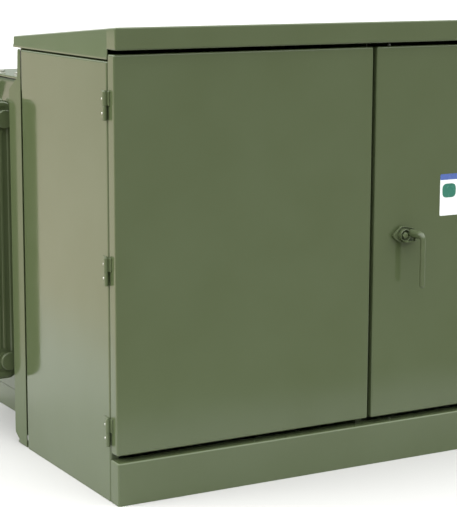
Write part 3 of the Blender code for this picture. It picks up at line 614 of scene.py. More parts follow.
# ---------------------------------------------------------------- cabinet
def make_side_panels():
    """Side panels folded at the front, top and back, with stiffeners inside."""
    for side, name in ((-1, "left"), (1, "right")):
        node = "side_panel_" + name
        low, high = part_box(node)
        panel = shelled(low, high, [(-side, 0, 0), (0, 0, -1)], 0.0065)
        inner = side * (HALF - SHEET)
        for height in (0.40, 0.80):
            rib = strip(filleted([(0.0, -0.030), (0.0, -0.020), (0.012, -0.014), (0.012, 0.014),
                                  (0.0, 0.020), (0.0, 0.030)], 0.003), 0.0015)
            plate(panel, [(across * -side, up) for across, up in rib], high.y - low.y - 0.06,
                  Matrix.Translation((inner - side * 0.0003, (low.y + high.y) / 2, height))
                  @ Matrix.Rotation(-math.pi / 2, 4, "X") @ Matrix.Scale(-1, 4, (0, 1, 0)))
        piece(node + "_sheet", panel, "transformer", ENAMEL, [node])


def make_hood():
    """The sloping lid: a closed box over the doors, and behind it skirts that lean out to a hem."""
    low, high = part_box("hood")
    front_bottom, seam = DOOR_HIGH.z + 0.011, DOOR_BACK
    slope = 0.053 / (high.y - low.y)

    def sloped(lean):
        def reshape(bm):
            for corner in bm.verts:
                if corner.co.z > high.z - 0.01:
                    corner.co.z -= slope * (corner.co.y - low.y)
                    corner.co.x -= math.copysign(lean * (corner.co.z - low.z), corner.co.x)
        return reshape

    front = shelled((low.x, low.y, front_bottom), (high.x, seam, high.z), [(0, 1, 0)], BEND,
                    reshape=sloped(0.0), steps=6)
    piece("hood_front", front, "transformer", ENAMEL, ["hood"])

    lid = shelled((low.x, seam + 0.0012, low.z), (high.x, high.y, high.z), [(0, 0, -1), (0, -1, 0)],
                  BEND, reshape=sloped(0.036), steps=6)
    hem = strip(filleted([(0.0005, 0.0), (0.0005, 0.0065), (-0.0010, 0.0085)], 0.002), 0.0020)
    for side in (-1, 1):
        plate(lid, [(across * side, up) for across, up in hem], high.y - seam - 0.003,
              Matrix.Translation((side * (high.x - 0.0005), (seam + high.y) / 2, low.z + 0.0002))
              @ Matrix.Rotation(math.pi / 2, 4, "X"))
    piece("hood_lid", lid, "transformer", ENAMEL)


def make_sill():
    """The removable front sill, folded at the front, top and ends, with three stiffeners behind its face.
    """
    low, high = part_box("front_sill")
    sill = shelled(low, high, [(0, 1, 0), (0, 0, -1)], 0.0055)
    for x in (-0.45, 0.0, 0.45):
        slab(sill, (x - 0.02, low.y + SHEET, 0.004), (x + 0.02, low.y + SHEET + 0.003, high.z - 0.006))
    piece("front_sill_sheet", sill, "transformer", ENAMEL, ["front_sill"])


def make_barrier():
    """The sheet between the compartments, with a folded front edge and its bolts."""
    low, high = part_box("compartment_barrier")
    hood_low, hood_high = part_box("hood")
    slope = 0.056 / (hood_high.y - hood_low.y)
    under = [hood_high.z - slope * (y - hood_low.y) - SHEET - 0.0015 for y in (low.y, high.y - 0.0234)]
    outline = [(low.y, 0.004), (high.y, 0.004), (high.y, 1.058), (high.y - 0.0234, 1.058),
               (high.y - 0.0234, under[1]), (low.y, under[0])]
    sheet = bmesh.new()
    middle = (low.x + high.x) / 2
    plate(sheet, outline, 0.003, Matrix.Translation((middle, 0, 0)) @ FACING_ACROSS)
    slab(sheet, (middle - 0.0015, low.y, 0.03), (middle - 0.019, low.y + 0.003, 1.20), 0.0006)
    for height in (0.35, 0.75):
        slab(sheet, (middle + 0.0012, low.y + 0.05, height - 0.012),
             (middle + 0.0085, high.y - 0.05, height + 0.012), 0.003, 3)
    slab(sheet, (middle + 0.001, high.y - 0.003, 0.09), (middle + 0.026, high.y, 1.03), 0.0006)
    piece("compartment_barrier_sheet", sheet, "transformer", ENAMEL_INNER,
          ["compartment_barrier"])
    spots = [((middle + 0.014, high.y - 0.003, height), (0, -1, 0))
             for height in (0.14, 0.34, 0.54, 0.74, 0.94)]
    fastened("barrier_bolts", "transformer", BOLT_M6, spots, ZINC, 3)


def make_back_panel():
    """The narrow closing sheet between the hood and the tank."""
    low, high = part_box("back_panel")
    sheet = shelled(low, high, [(0, -1, 0)], 0.003, steps=3)
    piece("back_panel_sheet", sheet, "transformer", ENAMEL, ["back_panel"])


# ---------------------------------------------------------------- doors, hinges and latch
def make_doors():
    """Door trays with returned lips, a hat stiffener down the middle with rivets along its flanges, and
    the handle's hole in the low-voltage door.
    """
    for name in ("hv_door", "lv_door"):
        low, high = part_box(name)
        tray = shelled(low, high, [(0, 1, 0)], BEND, lip=0.015)
        if name == "lv_door":
            hole = bmesh.new()
            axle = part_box("handle_escutcheon")
            centre = ((axle[0].x + axle[1].x) / 2, FACE_Y, (axle[0].z + axle[1].z) / 2)
            lathe(hole, [(0, 0.02), (0.0112, 0.02), (0.0112, -0.02), (0, -0.02)], centre, sides=40)
            tray = cut(tray, hole)
        middle = (low.x + high.x) / 2
        hat = strip(filleted([(-0.045, 0.0), (-0.028, 0.0), (-0.022, 0.018), (0.022, 0.018),
                              (0.028, 0.0), (0.045, 0.0)], 0.004), 0.0015)
        stiffener = bmesh.new()
        plate(stiffener, hat, high.z - low.z - 0.09,
              Matrix.Translation((middle, FACE_Y + SHEET + 0.0002, (low.z + high.z) / 2)))
        piece(name + "_tray", tray, name, ENAMEL, [name])
        piece(name + "_stiffener", stiffener, name, ENAMEL_INNER)
        spots = [((middle + side * 0.0365, FACE_Y + SHEET + 0.0016, low.z + 0.08 + 0.1 * step),
                  (0, 1, 0)) for side in (-1, 1) for step in range(10)]
        fastened(name + "_rivets", name, RIVET, spots, ENAMEL_INNER, 5)


def make_hinges():
    """Lift-off hinges: the fixed knuckle holds the pin, and the door's knuckle sits over it."""
    for door in ("hv", "lv"):
        side = -1 if door == "hv" else 1
        for position in ("lower", "middle", "upper"):
            fixed, moving = (f"{door}_hinge_{position}_{half}" for half in ("fixed", "leaf"))
            bottom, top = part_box(fixed)[0].z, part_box(moving)[1].z
            middle = (bottom + top) / 2
            axis_x, axis_y, skin = side * (HALF + 0.008), DOOR_BACK, side * (HALF + 0.0003)
            for name, way, z_low, z_high, radius, reach in (
                    (fixed, 1, bottom, middle - 0.0003, 0.0058, 0.0365),
                    (moving, -1, middle + 0.0003, top, 0.0070, 0.0150)):
                half = bmesh.new()
                rise = z_high - z_low
                lathe(half, filleted_pairs([(0.0042, 0.0), (radius, 0.0), (radius, rise),
                                            (0.0042, rise)], 0.0018, 4), (axis_x, axis_y, z_low), UP,
                      28, ring=True)
                slab(half, (skin, axis_y + way * 0.0052, bottom if way > 0 else z_low),
                     (skin + side * 0.0026, axis_y + way * reach, top if way > 0 else z_high),
                     0.0011, 3)
                slab(half, (skin + side * 0.0012, axis_y + way * 0.0042, z_low + 0.0006),
                     (skin + side * 0.0042, axis_y + way * 0.0085, z_high - 0.0006), 0.0010, 2)
                if way > 0:
                    pin = filleted_pairs([(0.0, top + 0.0022), (0.0040, top + 0.0022),
                                          (0.0040, bottom + 0.001)], 0.0016)
                    lathe(half, pin + [(0.0, bottom + 0.001)], (axis_x, axis_y, 0.0), UP, 20)
                    spots = [((skin + side * 0.0026, axis_y + 0.0280, middle - 0.003 + shift * 0.019),
                              (side, 0, 0)) for shift in (-1, 1)]
                    fastened(name + "_bolts", "transformer", RIVET_LARGE, spots, ZINC,
                             2)
                piece(name + "_forged", half, "transformer" if way > 0 else door + "_door",
                      ENAMEL_THICK, [name])


def about(pivot, outline):
    """An outline round the handle's axis, moved to its place on the door."""
    return [(pivot.x + point[0], pivot.z + point[1]) for point in outline]


def make_latch():
    """The turning handle with its recessed five-sided bolt, and the cam, rods and guides inside."""
    low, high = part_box("handle_escutcheon")
    pivot = Vector(((low.x + high.x) / 2, FACE_Y, (low.z + high.z) / 2))
    ring = bmesh.new()
    lathe(ring, [(0.0125, 0.0045), (0.0180, 0.0045), (0.0198, 0.0038), (0.0210, 0.0022),
                 (0.0210, 0.0003), (0.0125, 0.0003)], pivot, sides=48, ring=True)
    piece("handle_escutcheon_ring", ring, "lv_door", ENAMEL_THICK,
          ["handle_escutcheon"])

    grip_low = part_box("door_handle")[0]
    handle = bmesh.new()
    lathe(handle, [(0, 0.0130), (0.0145, 0.0130), (0.0152, 0.0138), (0.0152, 0.0232),
                   (0.0156, 0.0238), (0.0163, 0.0240), (0.0170, 0.0236), (0.0173, 0.0228),
                   (0.0180, 0.0075), (0.0092, 0.0070), (0.0092, -0.050), (0, -0.050)],
          pivot, sides=48)
    wing = filleted([(-0.0335, -0.0010), (-0.0100, 0.0225), (0.0070, 0.0225), (0.0225, 0.0180),
                     (0.0350, 0.0150), (0.0405, 0.0060), (0.0405, -0.0170), (0.0320, -0.0210),
                     (-0.0070, -0.0200), (-0.0210, -0.0120)], 0.005, 4, closed=True)
    plate(handle, about(pivot, wing), 0.0040,
          Matrix.Translation((0, FACE_Y - 0.0078, 0)) @ FRONT, 0.0012)
    rim = strip(wing + [wing[0].lerp(wing[-1], 0.04)], 0.0026)
    plate(handle, about(pivot, rim), 0.0085,
          Matrix.Translation((0, FACE_Y - 0.0105, 0)) @ FRONT, 0.0009)
    grip_x, grip_y = pivot.x + 0.0334, grip_low.y + 0.008
    lower = strip(filleted([(-0.0060, -0.0185), (0.0200, -0.0195), (0.0334, -0.0190)], 0.01, 4), 0.0030)
    plate(handle, about(pivot, lower), 0.026,
          Matrix.Translation((0, FACE_Y - 0.0210, 0)) @ FRONT, 0.0012)
    elbow = filleted([(pivot.x + 0.0225, FACE_Y - 0.0080, pivot.z + 0.0045),
                      (grip_x, grip_y, pivot.z + 0.0015), (grip_x, grip_y, pivot.z - 0.040),
                      (grip_x, grip_y, grip_low.z)], 0.016, 8)
    tube(handle, elbow, 0.008, 28, domed=True, root=0.0120)
    piece("door_handle_casting", handle, "handle", ENAMEL_THICK,
          ["door_handle"], 40)

    bolt = bmesh.new()
    plate(bolt, hex_outline(0.0165, 5), 0.007,
          Matrix.Translation(pivot - Vector((0, 0.0190, 0))) @ FRONT, 0.0008)
    lathe(bolt, [(0, 0.0238), (0.0060, 0.0236), (0.0082, 0.0227), (0.0084, 0.0215), (0, 0.0215)],
          pivot, sides=30)
    lathe(bolt, filleted_pairs([(0, 0.0158), (0.0108, 0.0156), (0.0108, 0.0134), (0, 0.0134)], 0.0006),
          pivot, sides=40)
    lathe(bolt, [(0, 0.015), (0.005, 0.015), (0.005, -0.0175), (0.0042, -0.018), (0, -0.018)], pivot,
          sides=20)
    piece("penta_bolt_head", bolt, "penta_bolt", ENAMEL_THICK, ["penta_bolt"])

    cam_low, cam_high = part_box("latch_cam")
    cam = bmesh.new()
    plate_y = (cam_low.y + cam_high.y) / 2
    outline = filleted([(-0.0110, -0.036), (0.0110, -0.036), (0.0110, 0.036), (-0.0110, 0.036)],
                       0.009, 6, closed=True)
    plate(cam, about(pivot, outline), 0.004,
          Matrix.Translation((0, plate_y, 0)) @ FRONT, 0.0006)
    for rise in (-1, 1):
        lathe(cam, [(0, 0.0044), (0.0042, 0.0042), (0.0050, 0.0036), (0.0050, 0.0015), (0, 0.0015)],
              (pivot.x, plate_y, pivot.z + rise * 0.027), FRONT, 16)
    lathe(cam, [(0, 0.0027), (0.0078, 0.0027), (0.0082, 0.0024), (0.0082, -0.0018), (0, -0.0018)],
          (pivot.x, plate_y, pivot.z), REAR, 24)
    piece("latch_cam_plate", cam, "handle", ZINC, ["latch_cam"])

    for name, body in (("latch_rod_upper", "upper_rod"), ("latch_rod_lower", "lower_rod")):
        rod_low, rod_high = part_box(name)
        rod_x, rod_y = (rod_low.x + rod_high.x) / 2, (rod_low.y + rod_high.y) / 2
        rod = bmesh.new()
        tube(rod, [(rod_x, rod_y, rod_low.z), (rod_x, rod_y, rod_high.z)], 0.005, 20, domed=True)
        end = rod_low.z + 0.012 if name == "latch_rod_upper" else rod_high.z - 0.012
        puck(rod, 0.0085, 0.0063, -0.0063, 0.0015, (rod_x, rod_y, end), FRONT, 20)
        piece(name + "_bar", rod, body, ZINC, [name])
        guides = bmesh.new()
        middle, inside = (rod_low.z + rod_high.z) / 2, FACE_Y + SHEET
        crown = rod_y - FACE_Y - SHEET + 0.0052
        bridge = filleted([(-0.022, 0.0), (-0.0085, 0.0), (-0.0085, crown), (0.0085, crown),
                           (0.0085, 0.0), (0.022, 0.0)], 0.003)
        for height in (middle - 0.12, middle + 0.12):
            channel = [(rod_x + across, inside + 0.0003 + deep) for across, deep in strip(bridge, -0.002)]
            plate(guides, channel, 0.022, Matrix.Translation((0, 0, height)))
        piece(name + "_guides", guides, "lv_door", ZINC)


# ---------------------------------------------------------------- tank
def make_tank():
    """The welded tank: wavy walls on an inset skirt, flanges to the cabinet, rails and lugs."""
    front = TANK_FRONT

    def walls():
        bm = bmesh.new()
        slab(bm, (-TANK_HALF, front, WALL_FOOT), (TANK_HALF, TANK_REAR, WALL_TOP), edge=0.0)
        upright = [link for link in bm.edges
                   if abs((link.verts[0].co - link.verts[1].co).z) > 0.1]
        bmesh.ops.bevel(bm, geom=upright, offset=0.008, segments=4, profile=0.5, affect="EDGES")
        for axis, count in ((Vector((0, 1, 0)), 16), (Vector((1, 0, 0)), 30), (Vector((0, 0, 1)), 28)):
            start = {0: -TANK_HALF, 1: front, 2: WALL_FOOT}[list(axis).index(1)]
            end = {0: TANK_HALF, 1: TANK_REAR, 2: WALL_TOP}[list(axis).index(1)]
            for step in range(1, count):
                share = step / count
                if axis.z:
                    share = 1 - (1 - share) ** 1.6
                at = start + (end - start) * share
                bmesh.ops.bisect_plane(bm, geom=bm.verts[:] + bm.edges[:] + bm.faces[:],
                                       plane_co=axis * at, plane_no=axis)
        for corner in bm.verts:
            x, y, z = corner.co
            if z > WALL_TOP - 0.001 or z < WALL_FOOT + 0.001:
                continue
            rise = (z - WALL_FOOT) / (WALL_TOP - WALL_FOOT)
            edge = math.sin(math.pi * rise) ** 0.5
            if abs(abs(x) - TANK_HALF) < 0.0005 and front + 0.01 < y < TANK_REAR - 0.01:
                share = (y - front) / (TANK_REAR - front)
                bow = 0.0016 * math.sin(math.pi * share) * edge
                drop = WALL_TOP - z
                pull = 0.0024 * math.exp(-drop / 0.045) * (1 - math.exp(-drop / 0.006))
                ripple = 1.0 + 0.45 * math.sin(share * 31.0) + 0.25 * math.sin(share * 67.0 + 1.0)
                corner.co.x += math.copysign(bow - pull * ripple, x)
            if abs(y - TANK_REAR) < 0.0005 and abs(x) < TANK_HALF - 0.01:
                share = (x + TANK_HALF) / (2 * TANK_HALF)
                corner.co.y -= 0.0012 * (1 - math.sin(math.pi * share) * edge)
        return bm

    tank = walls()
    slab(tank, (-TANK_HALF + SKIRT_INSET, front + SKIRT_INSET, 0.0),
         (TANK_HALF - SKIRT_INSET, TANK_REAR - SKIRT_INSET, WALL_FOOT + 0.002), 0.0015)
    piece("tank_walls", tank, "transformer", ENAMEL, ["tank_shell"])

    frame_bm = bmesh.new()
    flange_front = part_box("side_panel_left")[1].y + 0.008
    flange_rear = flange_front + 0.060
    outline = [(flange_front, 0.006), (flange_front + 0.028, 0.006), (flange_rear, 0.036),
               (flange_rear, 1.065), (flange_front + 0.016, 1.100),
               (flange_front + 0.012, 1.182), (flange_front, 1.182)]
    for side in (-1, 1):
        toe_in = Matrix.Rotation(math.radians(-side * 11), 4, "Z")
        plate(frame_bm, [(y - flange_front, z) for y, z in filleted_pairs(outline, 0.006, closed=True)],
              0.003, Matrix.Translation((side * (HALF - 0.0020), flange_front, 0)) @ toe_in
              @ FACING_ACROSS, 0.0006)
        slab(frame_bm, (side * (TANK_HALF - 0.002), front - 0.0002, 0.030),
             (side * (HALF - 0.001), front + 0.005, WALL_TOP - 0.004), 0.0008)
        slab(frame_bm, (side * HALF, flange_front, 0.0),
             (side * (HALF - 0.022), flange_rear + 0.003, 0.0085), 0.0015)
        for start in (0.500, 0.594):
            slab(frame_bm, (side * start, front - 0.0002, 0.0),
                 (side * (start + 0.006), TANK_REAR + 0.0004, 0.074), 0.0008)
        slab(frame_bm, (side * 0.500, front, 0.068), (side * 0.600, TANK_REAR, 0.0745), 0.0008)
    piece("tank_flanges", frame_bm, "transformer", ENAMEL)

    lugs = bmesh.new()
    hook = [(-0.002, 0.955), (0.045, 0.985), (0.070, 1.045), (0.052, 1.056), (0.030, 1.020),
            (0.012, 1.030), (0.012, 1.056), (-0.002, 1.056)]
    for side in (-1, 1):
        for y in (FACE_Y + 0.70, FACE_Y + 1.19):
            shape = filleted_pairs([(side * (TANK_HALF + x), z) for x, z in hook], 0.006, closed=True)
            plate(lugs, shape, 0.012, Matrix.Translation((0, y, 0)) @ FRONT, 0.0012)
    piece("lifting_lugs", lugs, "transformer", ENAMEL_THICK)

    seams = []
    low_z, corner = WALL_FOOT - 0.0005, 0.004
    for side in (-1, 1):
        out = Vector((side, 0, -0.6)).normalized()
        seams.append([((side * (TANK_HALF - 0.0012), y, low_z), out)
                      for y in (front + corner, TANK_REAR - corner)])
        out = Vector((side, 0, 0))
        for y in (FACE_Y + 0.70, FACE_Y + 1.19):
            for edge in (-0.0062, 0.0062):
                out_edge = Vector((side, math.copysign(1, edge), 0)).normalized()
                seams.append([((side * (TANK_HALF + 0.0006), y + edge, z), out_edge)
                              for z in (0.962, 1.052)])
    for sign, y in ((-1, front + 0.0012), (1, TANK_REAR - 0.0012)):
        seams.append([((x, y, low_z), Vector((0, sign, -0.6)).normalized())
                      for x in (-TANK_HALF + corner, TANK_HALF - corner)])
    welded("tank_weld_beads", "transformer", seams, ENAMEL_THICK)


def make_cover():
    """The bolted tank cover on its gasket, and the round handhole cover with its bolts."""
    low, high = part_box("tank_cover")
    cover = bmesh.new()
    outline = filleted_pairs([(low.x, low.y), (high.x, low.y), (high.x, high.y), (low.x, high.y)],
                                    0.012, 5, closed=True)
    plate(cover, outline, high.z - low.z, Matrix.Translation((0, 0, (low.z + high.z) / 2)), 0.0018)
    piece("tank_cover_plate", cover, "transformer", ENAMEL, ["tank_cover"])

    spots = []
    inset, across = 0.024, 11
    for step in range(across):
        x = low.x + inset + (high.x - low.x - 2 * inset) * step / (across - 1)
        spots += [((x, y, high.z), (0, 0, 1)) for y in (low.y + 0.082, high.y - inset)]
    for step in range(1, 4):
        y = low.y + 0.082 + (high.y - low.y - 0.082 - inset) * step / 4
        spots += [((x, y, high.z), (0, 0, 1)) for x in (low.x + inset, high.x - inset)]
    fastened("tank_cover_bolts", "transformer", BOLT_M10, spots, ZINC, 7)

    hole_low, hole_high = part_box("handhole_cover")
    centre = Vector(((hole_low.x + hole_high.x) / 2, (hole_low.y + hole_high.y) / 2, hole_low.z))
    radius = (hole_high.x - hole_low.x) / 2
    lid = bmesh.new()
    lathe(lid, [(0, 0.0085), (radius - 0.052, 0.0085), (radius - 0.046, 0.0070),
                (radius - 0.040, 0.0085), (radius - 0.003, 0.0085), (radius, 0.0060), (radius, 0.0),
                (0, 0.0)], centre, UP, 64)
    handle = filleted([centre + Vector((-0.045, 0, 0.004)), centre + Vector((-0.045, 0, 0.032)),
                       centre + Vector((0.045, 0, 0.032)), centre + Vector((0.045, 0, 0.004))], 0.012, 5)
    tube(lid, handle, 0.005, 14)
    piece("handhole_cover_disc", lid, "transformer", ENAMEL, ["handhole_cover"])
    spots = [((centre.x + (radius - 0.018) * math.cos(math.tau * step / 12),
               centre.y + (radius - 0.018) * math.sin(math.tau * step / 12), centre.z + 0.0085),
              (0, 0, 1)) for step in range(12)]
    fastened("handhole_bolts", "transformer", BOLT_M10, spots, ZINC, 8)
    NODES["cover_gasket"].data.materials[0] = RUBBER


def rounded_box_outline(low, high, radius, steps=5):
    """A rectangle's outline with round corners, counter-clockwise, the same count every time."""
    corners = ((high[0] - radius, low[1] + radius, -90), (high[0] - radius, high[1] - radius, 0),
               (low[0] + radius, high[1] - radius, 90), (low[0] + radius, low[1] + radius, 180))
    return [(x + radius * math.cos(math.radians(start + 90 * step / steps)),
             y + radius * math.sin(math.radians(start + 90 * step / steps)))
            for x, y, start in corners for step in range(steps + 1)]


def pressed(bm, low, high, radius, section, place, both=True, steps=5):
    """A pressing: loops stepping in from a rounded rectangle, each (inset, height)."""
    sides = (1, -1) if both else (1,)
    for side in sides:
        loops = []
        for inset, height in section:
            outline = rounded_box_outline((low[0] + inset, low[1] + inset),
                                          (high[0] - inset, high[1] - inset),
                                          max(radius - inset, radius * 0.3), steps)
            loops.append([bm.verts.new(place @ Vector((x, y, side * height))) for x, y in outline])
        for outer, inner in zip(loops, loops[1:]):
            for number in range(len(outer)):
                after = (number + 1) % len(outer)
                bm.faces.new((outer[number], outer[after], inner[after], inner[number]))
        bm.faces.new(loops[-1])
        if not both:
            bm.faces.new(reversed(loops[0]))


def make_radiators():
    """Banks of pressed panels on header pipes, with fluted faces and seam-welded rims."""
    for side, name in ((-1, "radiator_left"), (1, "radiator_right")):
        low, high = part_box(name)
        across = sorted((side * RADIATOR_INNER, high.x if side > 0 else low.x))
        bottom, top = low.z, high.z
        pipe_heights = (bottom + HEADER_INSET, top - HEADER_INSET)
        first, last = FACE_Y + 0.750, FACE_Y + 1.200
        panel = bmesh.new()
        pressed(panel, (across[0], bottom), (across[1], top), 0.030,
                [(0.0, 0.0008), (0.0035, 0.0011), (0.0060, 0.0050), (0.0090, 0.0060), (0.0165, 0.0060),
                 (0.0195, 0.0050), (0.0225, 0.0022)], FRONT)
        flute = (across[1] - across[0] - 0.062) / 4
        for number in range(4):
            x = across[0] + 0.031 + flute * number
            for face in (1, -1):
                pressed(panel, (x + 0.003, bottom + 0.085), (x + flute - 0.003, top - 0.085), 0.012,
                        [(0.0, face * 0.0012), (0.0035, face * 0.0045), (0.0080, face * 0.0056)], FRONT,
                        both=False, steps=4)
        for end in (bottom + 0.026, top - 0.082):
            pressed(panel, (across[0] + 0.026, end), (across[1] - 0.026, end + 0.056), 0.014,
                    [(0.0, 0.0012), (0.0040, 0.0050), (0.0080, 0.0058)], FRONT, steps=4)
        bmesh.ops.remove_doubles(panel, verts=panel.verts, dist=0.00001)
        bmesh.ops.translate(panel, verts=panel.verts, vec=(0, first, 0))
        pattern = jig(name + "_panel", panel, 50)
        panels = grown(ROW, pattern=pattern, count=10, pitch=(0.0, (last - first) / 9, 0.0),
                       finish=ENAMEL)
        settled(name + "_panels", panels, "transformer", None, [name], 50)

        headers = bmesh.new()
        header_x = side * HEADER_X
        for height in pipe_heights:
            tube(headers, [(header_x, first - 0.016, height), (header_x, last + 0.016, height)],
                 HEADER_RADIUS, 32)
            for y in (first - 0.018, last + 0.016):
                puck(headers, 0.027, 0.003, -0.003, 0.002, (header_x, y, height), FRONT, 32)
            middle = (first + last) / 2
            tube(headers, [(side * (TANK_HALF - 0.002), middle, height), (header_x, middle, height)],
                 0.020, 24)
            for reach in (0.010, 0.046):
                puck(headers, 0.040, 0.006, -0.006, 0.002,
                     (side * (TANK_HALF + reach), middle, height), RIGHT, 32)
        piece(name + "_headers", headers, "transformer", ENAMEL_THICK)
        spots = [((side * (TANK_HALF + 0.052), middle + 0.032 * math.cos(math.tau * (turn + 0.5) / 4),
                   height + 0.032 * math.sin(math.tau * (turn + 0.5) / 4)), (side, 0, 0))
                 for turn in range(4) for height in pipe_heights]
        fastened(name + "_flange_bolts", "transformer", BOLT_M6, spots, ZINC, 4)
        toe = HEADER_RADIUS + 0.0002
        turns = [math.tau * turn / 24 for turn in range(25)]
        seams = [[((header_x + toe * math.cos(angle), first - 0.0145, height + toe * math.sin(angle)),
                   (math.cos(angle), -0.5, math.sin(angle))) for angle in turns]
                 for height in pipe_heights]
        welded(name + "_weld_beads", "transformer", seams, ENAMEL_THICK)


# ---------------------------------------------------------------- terminals
def centre_of(node):
    """The axis of a turned fitting on the tank's front wall."""
    low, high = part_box(node)
    return Vector(((low.x + high.x) / 2, TANK_FRONT, (low.z + high.z) / 2))


def make_hv_bushings():
    """Dead-front bushings: a flanged epoxy body, a stepped cone, a contact nose and clamp studs."""
    for name in ("h1", "h2", "h3"):
        node = "hv_bushing_" + name
        at = centre_of(node)
        body = bmesh.new()
        lathe(body, filleted_pairs([(0, 0.150), (0.0215, 0.150), (0.0262, 0.100), (0.0300, 0.096),
                                    (0.0400, 0.070), (0.0450, 0.064), (0.0450, 0.026), (0.0480, 0.022),
                                    (0.0580, 0.020), (0.0580, 0.0010), (0.0360, 0.0010), (0.0340, -0.055),
                                    (0, -0.055)], 0.0022), at, sides=48)
        for rise in (0.034, 0.046, 0.058):
            lathe(body, [(0.0445, rise - 0.0030), (0.0472, rise - 0.0016), (0.0478, rise),
                         (0.0472, rise + 0.0016), (0.0445, rise + 0.0030)], at, sides=48, ring=True)
        piece(node + "_body", body, "transformer", EPOXY, [node])
        nose = bmesh.new()
        lathe(nose, filleted_pairs([(0, 0.190), (0.0155, 0.190), (0.0165, 0.184), (0.0212, 0.1505),
                                    (0, 0.1505)], 0.001), at, sides=40)
        piece(node + "_nose", nose, "transformer", NYLON)
        gasket = bmesh.new()
        lathe(gasket, filleted_pairs([(0.037, 0.0016), (0.0595, 0.0016), (0.0595, 0.0), (0.037, 0.0)],
                                     0.0004), at, sides=48, ring=True)
        piece(node + "_gasket", gasket, "transformer", RUBBER)
        spots = [(at + Vector((0.0515 * math.cos(angle), -0.020, 0.0515 * math.sin(angle))), (0, -1, 0))
                 for angle in (math.tau * (turn + 0.5) / 4 for turn in range(4))]
        fastened(node + "_studs", "transformer", BOLT_M6, spots, ZINC, 6)


def make_lv_bushings():
    """Low-voltage bushings: ribbed epoxy round a tinned stud with a four-hole spade."""
    for name in ("x0", "x1", "x2", "x3"):
        node = "lv_bushing_" + name
        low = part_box(node)[0]
        at = centre_of(node)
        body = bmesh.new()
        lathe(body, filleted_pairs([(0, 0.0760), (0.0300, 0.0735), (0.0318, 0.0560), (0.0345, 0.0530),
                                    (0.0330, 0.0500), (0.0336, 0.0400), (0.0362, 0.0370),
                                    (0.0348, 0.0340), (0.0355, 0.0160), (0.0520, 0.0140),
                                    (0.0520, 0.0010), (0.0335, 0.0010), (0.0320, -0.050), (0, -0.050)],
                                   0.0016), at, sides=48)
        piece(node + "_body", body, "transformer", EPOXY, [node])
        stud = bmesh.new()
        puck(stud, 0.0160, 0.118, 0.074, 0.0012, at,
              sides=32)
        for reach in (0.080, 0.090):
            plate(stud, [(x, z) for x, z in hex_outline(0.042)], 0.007,
                  Matrix.Translation(at - Vector((0, reach, 0))) @ FRONT, 0.0008)
        spade = bmesh.new()
        slab(spade, (at.x - 0.008, low.y, at.z - 0.045),
             (at.x + 0.008, at.y - 0.110, at.z + 0.045), 0.0012)
        holes = bmesh.new()
        for reach in (0.152, 0.196):
            for rise in (-0.022, 0.022):
                tube(holes, [(at.x - 0.02, at.y - reach, at.z + rise), (at.x + 0.02, at.y - reach,
                                                                       at.z + rise)], 0.0072, 24)
        spade = cut(spade, holes)
        piece(node + "_spade", spade, "transformer", TIN)
        piece(node + "_stud", stud, "transformer", TIN)
        gasket = bmesh.new()
        lathe(gasket, filleted_pairs([(0.036, 0.0016), (0.0535, 0.0016), (0.0535, 0.0), (0.036, 0.0)],
                                     0.0004), at, sides=48, ring=True)
        piece(node + "_gasket", gasket, "transformer", RUBBER)
        spots = [(at + Vector((0.0445 * math.cos(angle), -0.0140, 0.0445 * math.sin(angle))), (0, -1, 0))
                 for angle in (math.tau * (turn + 0.5) / 4 for turn in range(4))]
        fastened(node + "_studs", "transformer", BOLT_M6, spots, ZINC, 9)


def make_fuses():
    """Draw-out fuses: a plated housing with a locking collar, and a holder with a pulling eye."""
    for letter in ("a", "b", "c"):
        at = centre_of("fuse_housing_" + letter)
        housing = bmesh.new()
        lathe(housing, filleted_pairs([(0.0260, 0.0700), (0.0260, 0.0480), (0.0275, 0.0470),
                                       (0.0275, 0.0430), (0.0260, 0.0420), (0.0260, 0.0110),
                                       (0.0360, 0.0100), (0.0360, 0.0005), (0.0225, 0.0005),
                                       (0.0225, -0.100), (0.0180, -0.100), (0.0180, 0.0700)], 0.0008),
              at, sides=40, ring=True)
        piece(f"fuse_housing_{letter}_tube", housing, "transformer", ZINC,
              ["fuse_housing_" + letter])
        spots = [(at + Vector((0.0308 * math.cos(angle), -0.0102, 0.0308 * math.sin(angle))), (0, -1, 0))
                 for angle in (math.tau * (turn + 0.5) / 3 for turn in range(3))]
        fastened(f"fuse_housing_{letter}_screws", "transformer", RIVET_LARGE, spots, ZINC,
                 2)
        holder = bmesh.new()
        lathe(holder, filleted_pairs([(0, 0.102), (0.0110, 0.100), (0.0205, 0.0965), (0.0238, 0.0900),
                                      (0.0238, 0.0706), (0.0163, 0.0706), (0.0163, -0.095),
                                      (0, -0.095)], 0.0014), at, sides=40)
        for turn in range(10):
            angle = math.tau * turn / 10
            spot = at + Vector((0.0226 * math.cos(angle), -0.081, 0.0226 * math.sin(angle)))
            rib = Vector((0.0016, 0.0085, 0.0016))
            slab(holder, spot - rib, spot + rib, 0.0006, 1)
        piece(f"fuse_holder_{letter}_cap", holder, "fuse_" + letter, NYLON,
              ["fuse_holder_" + letter])
        eye = bmesh.new()
        eye_ring(eye, at - Vector((0, 0.1110, 0)), 0.0068, 0.0021)
        lathe(eye, filleted_pairs([(0, 0.1050), (0.0042, 0.1045), (0.0060, 0.1005), (0, 0.1005)], 0.0006),
              at, sides=20)
        piece(f"fuse_holder_{letter}_eye", eye, "fuse_" + letter, BRASS)


def eye_ring(bm, centre, radius, wire, sides=28):
    """An upright ring that faces sideways."""
    lathe(bm, [(radius + wire * math.cos(math.tau * step / 10), wire * math.sin(math.tau * step / 10))
               for step in range(10)], centre, RIGHT, sides, ring=True)


